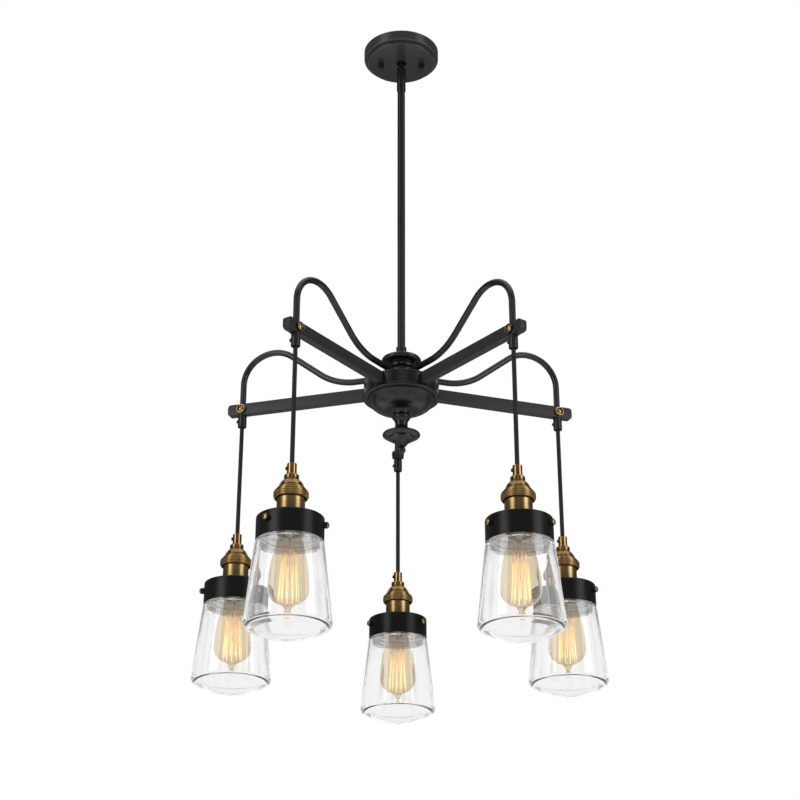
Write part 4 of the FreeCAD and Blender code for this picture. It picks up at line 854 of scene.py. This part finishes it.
# %% Grips, pinch screws and knobs
ARM_ENDS = {number: out_from(angle, REACH)[:2] for number, angle in ARM_ANGLES.items()}
UPRIGHT = (0.0, 0.0, 1.0)
GRIP_FOOT, GRIP_RADIUS, GRIP_SCREW_LEVEL = -670.0, 7.0, -661.0
SLEEVE_RADIUS, SLEEVE_SCREW_LEVEL = 7.6, -70.5
PINCH_HEADING, SLEEVE_HEADING = math.radians(196.0), math.radians(236.0)
PINCH_RADIUS = 2.6
KNOB_SPACING, KNOB_FOOT = 69.85, -35.5


def side_spot(axis, radius, heading, level):
    """A spot on the side of an upright round piece about an axis, facing out along a heading."""
    way = out_from(heading, 1.0)
    return (axis[0] + radius * way[0], axis[1] + radius * way[1], level), way


grip_outline = [(4.9, 0.0), (5.8, 0.0), Bend(7.0, 1.2, 1.2), (7.0, 20.5), (4.9, 20.5), (4.9, 23.5),
                (2.4, 23.5), (2.4, 5.7), Bend(3.6, 3.0, 3.6, -1)]
spots = [((*end, GRIP_FOOT), UPRIGHT) for end in ARM_ENDS.values()]
grip = turned("grip", grip_outline, 64)
add_fasteners("grips", grip, spots, hub_black, "frame", "black_metal", "cord_grips")

pinch_outline = [(0.0, -0.8), (PINCH_RADIUS, -0.8), (PINCH_RADIUS, 2.0), (1.1, 2.0), (0.9, 0.9), (0.0, 0.9)]
pinch = turned("pinch", pinch_outline, 32, edge=0.3)
spots = [side_spot(end, GRIP_RADIUS, PINCH_HEADING, GRIP_SCREW_LEVEL) for end in ARM_ENDS.values()]
spots.append(side_spot((0.0, 0.0), SLEEVE_RADIUS, SLEEVE_HEADING, SLEEVE_SCREW_LEVEL))
add_fasteners("pinch_screws", pinch, spots, hub_black, "frame", "black_metal")

knob_outline = [(0.0, 0.0), (3.9, 0.0), Bend(4.9, 1.0, 1.0), (4.9, 13.0), (2.1, 13.0), (2.1, 5.9), (0.0, 5.9)]
spots = [((side * KNOB_SPACING / 2, 0.0, KNOB_FOOT), UPRIGHT) for side in (-1, 1)]
knob = turned("knob", knob_outline, 64)
add_fasteners("knobs", knob, spots, hub_black, "ceiling_mount", "black_metal", "canopy_knobs")
print("grips:", len(ARM_ENDS), "and knobs:", len(spots))

# %% [markdown]
# ## Pendants
#
# From the top, a pendant is a brass clamp, a spun cap with ridges and an overhanging skirt, the
# lamp holder's plain shell, a black fitter cup, and a glass with a domed closed bottom whose neck the
# fitter's three screws hold. The holder's core is brown-black moulded plastic. Clear glass needs a true
# thickness, because both of its faces bend light, so its outline runs down the outside and up the
# inside. A coat on it gives the white veil of a bright room. The fitter's inside is pale, and light
# that has to pass through glass hardly reaches it in a render, so its lining glows faintly in place
# of the bulb's light on it.


# %% Glass and plastic finishes
def clear_glass(name, face, edge, waves, bend, sheen):
    """Thin blown glass that darkens where it is seen edge on, with faint waves and a sheen."""
    finish, tree, shader = new_finish(name, Transmission_Weight=1.0, IOR=bend, Roughness=0.0,
                                      Coat_Weight=sheen, Coat_IOR=1.6, Coat_Roughness=0.0)
    slant = add_node(tree, "ShaderNodeLayerWeight", {"Blend": 0.35}).outputs["Facing"]
    wave = noise(tree, own_place(tree), scale=16.0, detail=2.0)
    mixed = figure(tree, "ADD", slant, spread(tree, wave, 0.0, 0.03))
    drive(tree, shader, Base_Color=ramp(tree, mixed, [(0.10, face), (0.80, edge)]))
    raise_grain(tree, shader, wave, strength=waves, depth=0.004)
    return finish


def glowing_lining(name, dark, light, glow):
    """Pale lining with ring lines, whose faint glow is painted light in place of the bulb's light on it."""
    finish, tree, shader = new_finish(name, Roughness=0.4, Emission_Strength=glow)
    turn = attribute(tree, "lathe")["Vector"]
    rings = noise(tree, stretched(tree, turn, (0.8, 0.8, 7.0)), scale=2.0, roughness=0.6)
    tone = ramp(tree, rings, [(0.40, dark), (0.58, light)])
    # The tone glows as well: painted light, as if the bulb under it lit the lining.
    drive(tree, shader, Base_Color=tone, Emission_Color=tone)
    return finish


GLASSES = {
    # name: tone seen face on, tone seen edge on, waves, bending of light, sheen
    "shade_glass": ((0.955, 0.957, 0.960), (0.885, 0.889, 0.894), 0.04, 1.22, 1.0),
    "bulb_amber": ((0.90, 0.82, 0.66), (0.66, 0.52, 0.32), 0.03, 1.30, 0.0),
    "stem_glass": ((0.97, 0.96, 0.93), (0.80, 0.77, 0.70), 0.02, 1.34, 0.0),
}
shade_glass, bulb_amber, stem_glass = (clear_glass(name, *look) for name, look in GLASSES.items())
moulded = speckled("moulded_brown", (0.012, 0.008, 0.005), (0.026, 0.017, 0.011), metallic=0.0, dull=0.42)
# The lining's glow is painted light that stands in for the bulb's light on it.
pale_lining = glowing_lining("pale_lining", (0.22, 0.22, 0.22), (0.84, 0.84, 0.83), glow=0.44)
print("glass finishes:", *GLASSES)

# %% [markdown]
# All five pendants are the same, so one list of parts serves for each. A ridge of the cap is a short
# swell, and the ridges follow each other up its band and over its shoulder.

# %% Pendant outlines
BAND_RIDGES, SHOULDER_RIDGES, RIDGE_SWELL = 3, 3, 0.8
clamp_outline = [
    (2.4, 0.0), (6.9, 0.0), (6.9, 15.7), Bend(6.1, 16.5, 0.8), (4.9, 16.5), (3.6, 13.5),
    Bend(2.4, 10.8, 3.6, -1)]
band = [(23.7, 1.8 + 7.6 * index / BAND_RIDGES) for index in range(BAND_RIDGES + 1)]
shoulder = [(23.7 - 1.833 * index, 9.4 + 2.2 * index) for index in range(SHOULDER_RIDGES + 1)]
ridges = [swell(foot, head, RIDGE_SWELL) for run in (band, shoulder) for foot, head in zip(run, run[1:])]
cap_outline = [
    (22.1, 0.0), (22.3, 0.0), Bend(23.7, 1.4, 1.4), band[0], *ridges,
    swell((18.2, 16.0), (10.6, 27.5), 1.6), (10.6, 33.5), Bend(8.6, 35.5, 2.0), (2.4, 35.5),
    (2.4, 11.1), (19.7, 11.1), (19.7, 5.0), (22.1, 5.0)]
shell_outline = [
    (18.6, 0.0), (19.6, 0.0), (19.6, 21.5), (20.5, 21.5), (20.5, 22.9), (19.6, 22.9), (19.6, 60.0),
    (18.6, 60.0)]
core_outline = [(13.5, 0.0), (18.5, 0.0), (18.5, 35.0), (2.4, 35.0), (2.4, 27.0), (13.5, 27.0)]
ring_outline = [(19.7, 0.0), (23.2, 0.0), Bend(24.0, 0.8, 0.8), (24.0, 6.0), (19.7, 6.0)]
fitter_outline = [
    (45.5, 0.0), (47.0, 0.0), (47.0, 31.6), Bend(44.6, 34.0, 2.4), (19.7, 34.0), (19.7, 32.5),
    (44.6, 32.5), Bend(45.5, 31.6, 0.9, -1)]
glass_outline = [
    (0.0, 0.0), Bend(44.0, 14.0, 76.14), (52.0, 15.5), Bend(60.0, 23.5, 8.0), (48.0, 134.5),
    Bend(46.0, 136.5, 2.0), (43.4, 136.5), (43.4, 162.5), (44.7, 162.5), (44.7, 165.5), (40.0, 165.5),
    (40.0, 136.5), (44.6, 133.1), (56.94, 21.5), Bend(55.44, 20.0, 1.5, -1), (52.0, 20.0), (41.2, 16.0),
    Bend(0.0, 4.5, 79.55, -1)]

Part = collections.namedtuple("Part", "name outline foot finish slot solid segments edge")
PENDANT_PARTS = [
    Part("brass_clamp", clamp_outline, 867.5, cap_brass, "antique_brass", "cord_clamp", 64, 0.25),
    Part("brass_cap", cap_outline, 903.0, cap_brass, "antique_brass", "socket_cap", 96, 0.2),
    Part("brass_shell", shell_outline, 952.0, shell_brass, "antique_brass", "lamp_holder", 96, 0.2),
    Part("holder_insert", core_outline, 948.0, moulded, "black_metal", None, 64, 0.4),
    Part("holder_ring", ring_outline, 938.0, shell_brass, "antique_brass", None, 96, 0.25),
    Part("black_fitter", fitter_outline, 964.5, fitter_black, "black_metal", "fitter", 128, 0.3),
    Part("clear_shade", glass_outline, 1102.5, shade_glass, "clear_glass", "glass_shade", 160, 1.2),
]
print("turned pieces on each pendant:", len(PENDANT_PARTS))

# %% [markdown]
# The thumb screws that hold the glass have black barrels and brass buttons. Nobody lines them up when
# the glass is put in, so each pendant has its own twist.

# %% Build the pendants
SCREW_TWISTS = {1: 23.0, 2: -47.0, 3: -8.0, 4: 22.0, 5: -2.0}
SCREW_STEPS = (0.0, 120.0, 240.0)
FITTER_RADIUS, THUMB_SCREW_LEVEL = 47.0, -943.0
CLAMP_RADIUS, CLAMP_SCREW_LEVEL = 6.9, -858.5
LINING_RADIUS, FACES_DOWN = 45.8, -0.5
barrel_outline = [(0.0, -1.6), (2.4, -1.6), (2.4, 0.0), (4.7, 0.0), (4.7, 4.8), (0.0, 4.8)]
button_outline = [(0.0, 4.8), (4.1, 4.8), (4.1, 5.8), swell((4.1, 5.8), (0.0, 7.0), 0.35)]
barrel = turned("barrel", barrel_outline, 40, edge=0.4)
button = turned("button", button_outline, 40, edge=0.2)


def hang_parts(parts, number, body):
    """The turned parts of one pendant under its arm's end, as pieces by name."""
    pieces = {}
    for part in parts:
        name = f"{part.name}_{number}"
        mesh = lifted(turned(name, part.outline, part.segments, part.edge), part.foot, *ARM_ENDS[number])
        solids = [f"{part.solid}_{number}"] if part.solid else []
        pieces[part.name] = add_piece(name, mesh, part.finish, body, part.slot, *solids)
    return pieces


def line_inside(mesh, axis, finish):
    """Gives another finish to the faces of a cup that look inwards."""
    mesh.materials.append(finish)
    for face in mesh.polygons:
        out = face.center.xy - Vector(axis) * MM
        inwards = face.normal.xy.dot(out) < 0.0 or face.normal.z < FACES_DOWN
        if inwards and out.length < LINING_RADIUS * MM:
            face.material_index = 1


for number, angle in ARM_ANGLES.items():
    body, end = f"pendant_{number}", ARM_ENDS[number]
    pieces = hang_parts(PENDANT_PARTS, number, body)
    line_inside(pieces["black_fitter"].data, end, pale_lining)
    headings = [angle + math.radians(SCREW_TWISTS[number] + step) for step in SCREW_STEPS]
    spots = [side_spot(end, FITTER_RADIUS, heading, THUMB_SCREW_LEVEL) for heading in headings]
    add_fasteners(f"screw_barrels_{number}", barrel, spots, fitter_black, body, "black_metal",
                  f"fitter_screws_{number}")
    add_fasteners(f"screw_buttons_{number}", button, spots, screw_brass, body, "antique_brass")
    spots = [side_spot(end, CLAMP_RADIUS, PINCH_HEADING, CLAMP_SCREW_LEVEL)]
    add_fasteners(f"clamp_screw_{number}", pinch, spots, hub_black, body, "black_metal")
print("pendants:", len(ARM_ANGLES))

# %% [markdown]
# ## Bulbs
#
# The bulb is a long amber envelope with a pip at its tip and a squirrel-cage filament: one wire that
# runs up and down between an upper and a lower crown of hooks. A lamp inside could light the bulb, but
# hardly any of its light would pass the glass in a render. So the wire glows by its own colour, hottest
# at its foot and dim at its upper end in the neck.

# %% Filament finish
FILAMENT_FOOT, FILAMENT_RISE = 1052.0, 88.0


def glowing(name, hot, warm, dim, strength):
    """Hot wire, hottest at its foot and dim at its top, whose glow varies a little along its length."""
    finish, tree, shader = new_finish(name, Roughness=0.5, Emission_Strength=strength)
    place = own_place(tree)
    level = add_node(tree, "ShaderNodeSeparateXYZ", {"Vector": place}).outputs["Z"]
    rise = add_node(tree, "ShaderNodeMapRange", {
        "Value": level, "From Min": -FILAMENT_FOOT * MM, "From Max": (FILAMENT_RISE - FILAMENT_FOOT) * MM})
    flicker = spread(tree, noise(tree, place, scale=90.0, detail=2.0), 0.0, 0.12)
    mixed = figure(tree, "ADD", rise.outputs[0], flicker)
    tone = ramp(tree, mixed, [(0.15, hot), (0.62, warm), (0.84, dim)])
    drive(tree, shader, Base_Color=tone, Emission_Color=tone)
    return finish


hot_wire = glowing("hot_wire", (1.0, 0.74, 0.38), (1.0, 0.50, 0.13), (0.12, 0.06, 0.02), strength=1.7)
print("filament finish:", hot_wire.name)

# %% [markdown]
# The zigzag is a path with many turns, so a node group draws it: points at alternating heights round
# two circles, joined into a curve and swept with a thin wire. A seed makes the hooks a little uneven,
# as they are when bent by hand.

# %% Filament group
HOOK_STEPS, HOOK_RADIUS = 5, 0.12 * MM
WIRE_SIDES = 8


def filament_group():
    """A wire that zigzags between an upper and a lower circle."""
    tree, entry = node_group("cage_filament", [
        ("Turns", "Int"), ("TopRadius", "Float"), ("FootRadius", "Float"), ("Height", "Float"),
        ("WireRadius", "Float"), ("Unevenness", "Float"), ("Seed", "Int"), ("Material", "Material")])
    count = figure(tree, "MULTIPLY", entry["Turns"], 2.0)
    line = add_node(tree, "GeometryNodeMeshLine", {"Count": count})
    index = add_node(tree, "GeometryNodeInputIndex").outputs[0]
    odd = figure(tree, "MODULO", index, 2.0)
    turn = figure(tree, "MULTIPLY", figure(tree, "DIVIDE", index, count), 2 * math.pi)
    radius = add_node(tree, "ShaderNodeMapRange", {
        "Value": odd, "To Min": entry["FootRadius"], "To Max": entry["TopRadius"]}).outputs[0]
    shake = add_node(tree, "FunctionNodeRandomValue", {"Seed": entry["Seed"]}, data_type="FLOAT").outputs[1]
    shaken = figure(tree, "MULTIPLY_ADD", shake, entry["Unevenness"], radius)
    level = figure(tree, "MULTIPLY", odd, entry["Height"])
    raised = figure(tree, "MULTIPLY_ADD", shake, entry["Unevenness"], level)
    across = figure(tree, "MULTIPLY", figure(tree, "COSINE", turn), shaken)
    along = figure(tree, "MULTIPLY", figure(tree, "SINE", turn), shaken)
    spot = add_node(tree, "ShaderNodeCombineXYZ", {"X": across, "Y": along, "Z": raised})
    zigzag = add_node(tree, "GeometryNodeSetPosition", {
        "Geometry": line.outputs[0], "Position": spot.outputs[0]})
    path = add_node(tree, "GeometryNodeMeshToCurve", {"Mesh": zigzag.outputs[0]})
    hooks = add_node(tree, "GeometryNodeFilletCurve", {
        "Curve": path.outputs[0], "Count": HOOK_STEPS, "Radius": HOOK_RADIUS,
        "Limit Radius": True}, mode="POLY")
    end_group(tree, entry, swept(tree, hooks.outputs[0], entry["WireRadius"], WIRE_SIDES))
    return tree


FILAMENT = filament_group()
print("node group:", FILAMENT.name)

# %% [markdown]
# The envelope is turned with a true thickness, like the glass round it. The bulb turns in its socket on
# its own joint, so its glass, stem, cap and filament all ride on the bulb's body.

# %% Build the bulbs
FIRST_SEED = 40
bulb_outline = [
    (0.0, 0.0), Bend(4.2, 3.5, 4.27), swell((4.2, 3.5), (10.5, 11.0), -0.5), Bend(28.8, 33.5, 22.98),
    Bend(20.4, 90.5, 197.6), (13.0, 116.0), (12.0, 116.0), (19.4, 90.5), Bend(27.8, 33.5, 197.6, -1),
    Bend(9.6, 11.9, 22.0, -1), swell((9.6, 11.9), (3.4, 4.4), 0.5), Bend(0.0, 1.6, 4.0, -1)]
stem_outline = [(0.0, 0.0), Bend(1.7, 1.7, 1.7), (1.7, 52.0), Bend(10.0, 72.0, 28.25, -1), (0.0, 72.0)]
base_outline = [(0.0, 0.0), (13.2, 0.0), (13.2, 20.0), (5.0, 26.0), (0.0, 26.0)]
BULB_PARTS = [
    Part("bulb_envelope", bulb_outline, 1063.3, bulb_amber, "amber_glass", "bulb", 96, 0.3),
    Part("bulb_stem", stem_outline, 1019.3, stem_glass, "clear_glass", None, 40, 0.3),
    Part("bulb_cap", base_outline, 947.3, plated, "plated_steel", None, 64, 0.4),
]
for number in ARM_NUMBERS:
    body = f"screwed_bulb_{number}"
    hang_parts(BULB_PARTS, number, body)
    cage = grown(f"filament_{number}", FILAMENT, bpy.data.meshes.new("empty"), Turns=11, TopRadius=8.6 * MM,
                 FootRadius=13.6 * MM, Height=FILAMENT_RISE * MM, WireRadius=0.25 * MM,
                 Unevenness=1.2 * MM, Seed=FIRST_SEED + number, Material=hot_wire)
    cage = lifted(cage, FILAMENT_FOOT, *ARM_ENDS[number])
    add_piece(f"filament_{number}", cage, hot_wire, body, "amber_glass")
print("bulbs:", len(ARM_NUMBERS))

# %% [markdown]
# ## Studio
#
# The light is shown in a plain white studio. A pale floor lies well below, since the camera looks up
# from under the pendants. None of it belongs to the light, so each thing here is staged instead of
# riding on a body.


# %% Studio helpers
def plain_paint(name, dark, light):
    """Matt paint with hardly any clouding."""
    finish, tree, shader = new_finish(name, Roughness=0.8)
    cloud = noise(tree, own_place(tree), scale=0.8)
    drive(tree, shader, Base_Color=ramp(tree, cloud, [(0.3, dark), (0.7, light)]))
    return finish


def seen_rays(tree):
    """1 for the rays that show a surface to the camera, straight on, through glass or in metal."""
    rays = add_node(tree, "ShaderNodeLightPath").outputs
    straight = figure(tree, "MAXIMUM", rays["Is Camera Ray"], rays["Is Transmission Ray"])
    return figure(tree, "MAXIMUM", straight, rays["Is Glossy Ray"])


def mix_over(finish, share, shader):
    """Mixes a share of another shader over a finish."""
    tree = finish.node_tree
    shown = add_node(tree, "ShaderNodeMixShader", {
        0: share, 1: tree.nodes["Principled BSDF"].outputs[0], 2: shader.outputs[0]})
    tree.links.new(shown.outputs[0], tree.nodes["Material Output"].inputs["Surface"])


def stage(name, shape, finish, hidden_from=()):
    """A bmesh as a thing of the studio, which is hidden from some kinds of rays."""
    mesh = set_free(shape, name)
    mesh.materials.append(finish)
    thing = new_object(name, mesh)
    for kind in hidden_from:
        setattr(thing, f"visible_{kind}", False)


def stage_disc(name, radius, segments, level, finish):
    """A flat disc of the studio."""
    shape = bmesh.new()
    bmesh.ops.create_circle(shape, cap_ends=True, segments=segments, radius=radius)
    bmesh.ops.translate(shape, verts=shape.verts, vec=(0.0, 0.0, level))
    stage(name, shape, finish)


# %% [markdown]
# Paint alone would look grey. So the floor mixes plain white into what the camera, glass and metal see
# of it, and keeps enough paint to show the light's shadow. A small plate over the canopy stands for the
# ceiling behind its hole, and its near-black paint is painted shade, since the canopy's inside gets little
# light.

# %% Floor and ceiling plate
FLOOR_LEVEL, FLOOR_RADIUS, FLOOR_WHITENESS = -2.3, 14.0, 0.8
PLATE_LEVEL, PLATE_RADIUS = 0.002, 0.05
WHITE = (1.0, 1.0, 1.0, 1.0)
floor_paint = plain_paint("floor_paint", (0.80, 0.80, 0.79), (0.84, 0.84, 0.83))
tree = floor_paint.node_tree
share = figure(tree, "MULTIPLY", seen_rays(tree), FLOOR_WHITENESS)
mix_over(floor_paint, share, add_node(tree, "ShaderNodeEmission", {"Color": WHITE, "Strength": 1.0}))
stage_disc("floor", FLOOR_RADIUS, 96, FLOOR_LEVEL, floor_paint)
# Near-black paint: painted shade where the closed canopy's inside gets little light.
plate_paint = plain_paint("plate_paint", (0.02, 0.02, 0.02), (0.03, 0.03, 0.03))
stage_disc("ceiling_plate", PLATE_RADIUS, 64, PLATE_LEVEL, plate_paint)
print("floor at", FLOOR_LEVEL, "m")

# %% [markdown]
# The surround is white in the same way: plain white where it is seen, and softer where it only lights
# the object, so that colours come out about as they are written.

# %% Surround
SOFT_LEVEL = 0.6
world = bpy.data.worlds.new("studio")
world.use_nodes = True
bpy.context.scene.world = world
tree = world.node_tree
tree.nodes.clear()
soft = add_node(tree, "ShaderNodeBackground", {"Color": WHITE, "Strength": SOFT_LEVEL})
white = add_node(tree, "ShaderNodeBackground", {"Color": WHITE, "Strength": 1.0})
mixed = add_node(tree, "ShaderNodeMixShader", {0: seen_rays(tree), 1: soft.outputs[0], 2: white.outputs[0]})
add_node(tree, "ShaderNodeOutputWorld", {"Surface": mixed.outputs[0]})
print("surround:", world.name)

# %% [markdown]
# Large soft lamps stand left, right, behind and above. The last two would only put spots on the metal,
# so reflections don't show them.

# %% Lamps
AIM = Vector((0.0, 0.0, -0.75))


def soft_lamp(name, place, size, power, shines=True):
    """A large square lamp aimed at the light, which shows in reflections only if it shines."""
    lamp = new_object(name, bpy.data.lights.new(name, "AREA"))
    lamp.data.shape = "SQUARE"
    lamp.data.size = size
    lamp.data.energy = power
    lamp.location = place
    lamp.rotation_euler = (AIM - Vector(place)).to_track_quat("-Z", "Y").to_euler()
    lamp.visible_camera = lamp.visible_transmission = False
    lamp.visible_glossy = shines


soft_lamp("lamp_left", (-2.35, -1.81, -0.1), size=1.4, power=14.0)
soft_lamp("lamp_right", (2.53, -1.56, -0.1), size=1.4, power=13.0)
soft_lamp("lamp_back", (0.4, 2.6, 0.4), size=1.6, power=12.0, shines=False)
soft_lamp("lamp_above", (-0.4, -0.6, 1.6), size=1.6, power=14.0, shines=False)
print("lamps:", len(bpy.data.lights))

# %% [markdown]
# Satin metal in an all-white room looks flat. A ring of dark upright screens that only the metal
# reflects gives it its bands, as black boards do beside polished things. The ring is open in front of
# the two side lamps, has a bright slit in front and behind, and reaches lower at the back, where the
# undersides look. Sharp reflections, which only glass has, pass through the screens.

# %% Dark screens
SCREEN_SLOTS, SCREEN_REACH, SCREEN_LOW, SCREEN_HIGH = 13, 2.6, -1.0, 2.6
SCREEN_WIDTH = 2 * SCREEN_REACH * math.tan(math.pi / SCREEN_SLOTS)
FIRST_SCREEN = math.radians(273.0)
LAMP_SLOTS = (2, SCREEN_SLOTS - 2)
SLIT_SLOTS, SLIT_LOW, SLIT_HIGH = (0, 5, 6, 7, 8), 0.4, 1.1
REAR_SLOTS, REAR_LOW, REAR_HIGH = (4, 5, 6, 7, 8, 9), -2.25, -1.2

dark_paint = plain_paint("screen_paint", (0.10, 0.10, 0.10), (0.13, 0.13, 0.13))
tree = dark_paint.node_tree
sharp = add_node(tree, "ShaderNodeLightPath").outputs["Is Singular Ray"]
mix_over(dark_paint, sharp, add_node(tree, "ShaderNodeBsdfTransparent"))

whole = [slot for slot in range(SCREEN_SLOTS) if slot not in LAMP_SLOTS + SLIT_SLOTS]
panels = [(slot, SCREEN_LOW, SCREEN_HIGH) for slot in whole]
above_and_below = ((SCREEN_LOW, SLIT_LOW), (SLIT_HIGH, SCREEN_HIGH))
panels += [(slot, *ends) for slot in SLIT_SLOTS for ends in above_and_below]
panels += [(slot, REAR_LOW, REAR_HIGH) for slot in REAR_SLOTS]
for index, (slot, low, high) in enumerate(panels):
    turn = FIRST_SCREEN + 2 * math.pi * slot / SCREEN_SLOTS
    shape = bmesh.new()
    bmesh.ops.create_grid(shape, x_segments=1, y_segments=1, size=0.5)
    bmesh.ops.transform(shape, verts=shape.verts, matrix=(
        Matrix.Rotation(turn, 4, "Z") @ Matrix.Translation((SCREEN_REACH, 0.0, (low + high) / 2))
        @ Matrix.Rotation(math.pi / 2, 4, "Y") @ Matrix.Diagonal((high - low, SCREEN_WIDTH, 1.0, 1.0))))
    stage(f"screen_{index}", shape, dark_paint, hidden_from=("camera", "diffuse", "shadow", "transmission"))
print("screens:", len(panels))
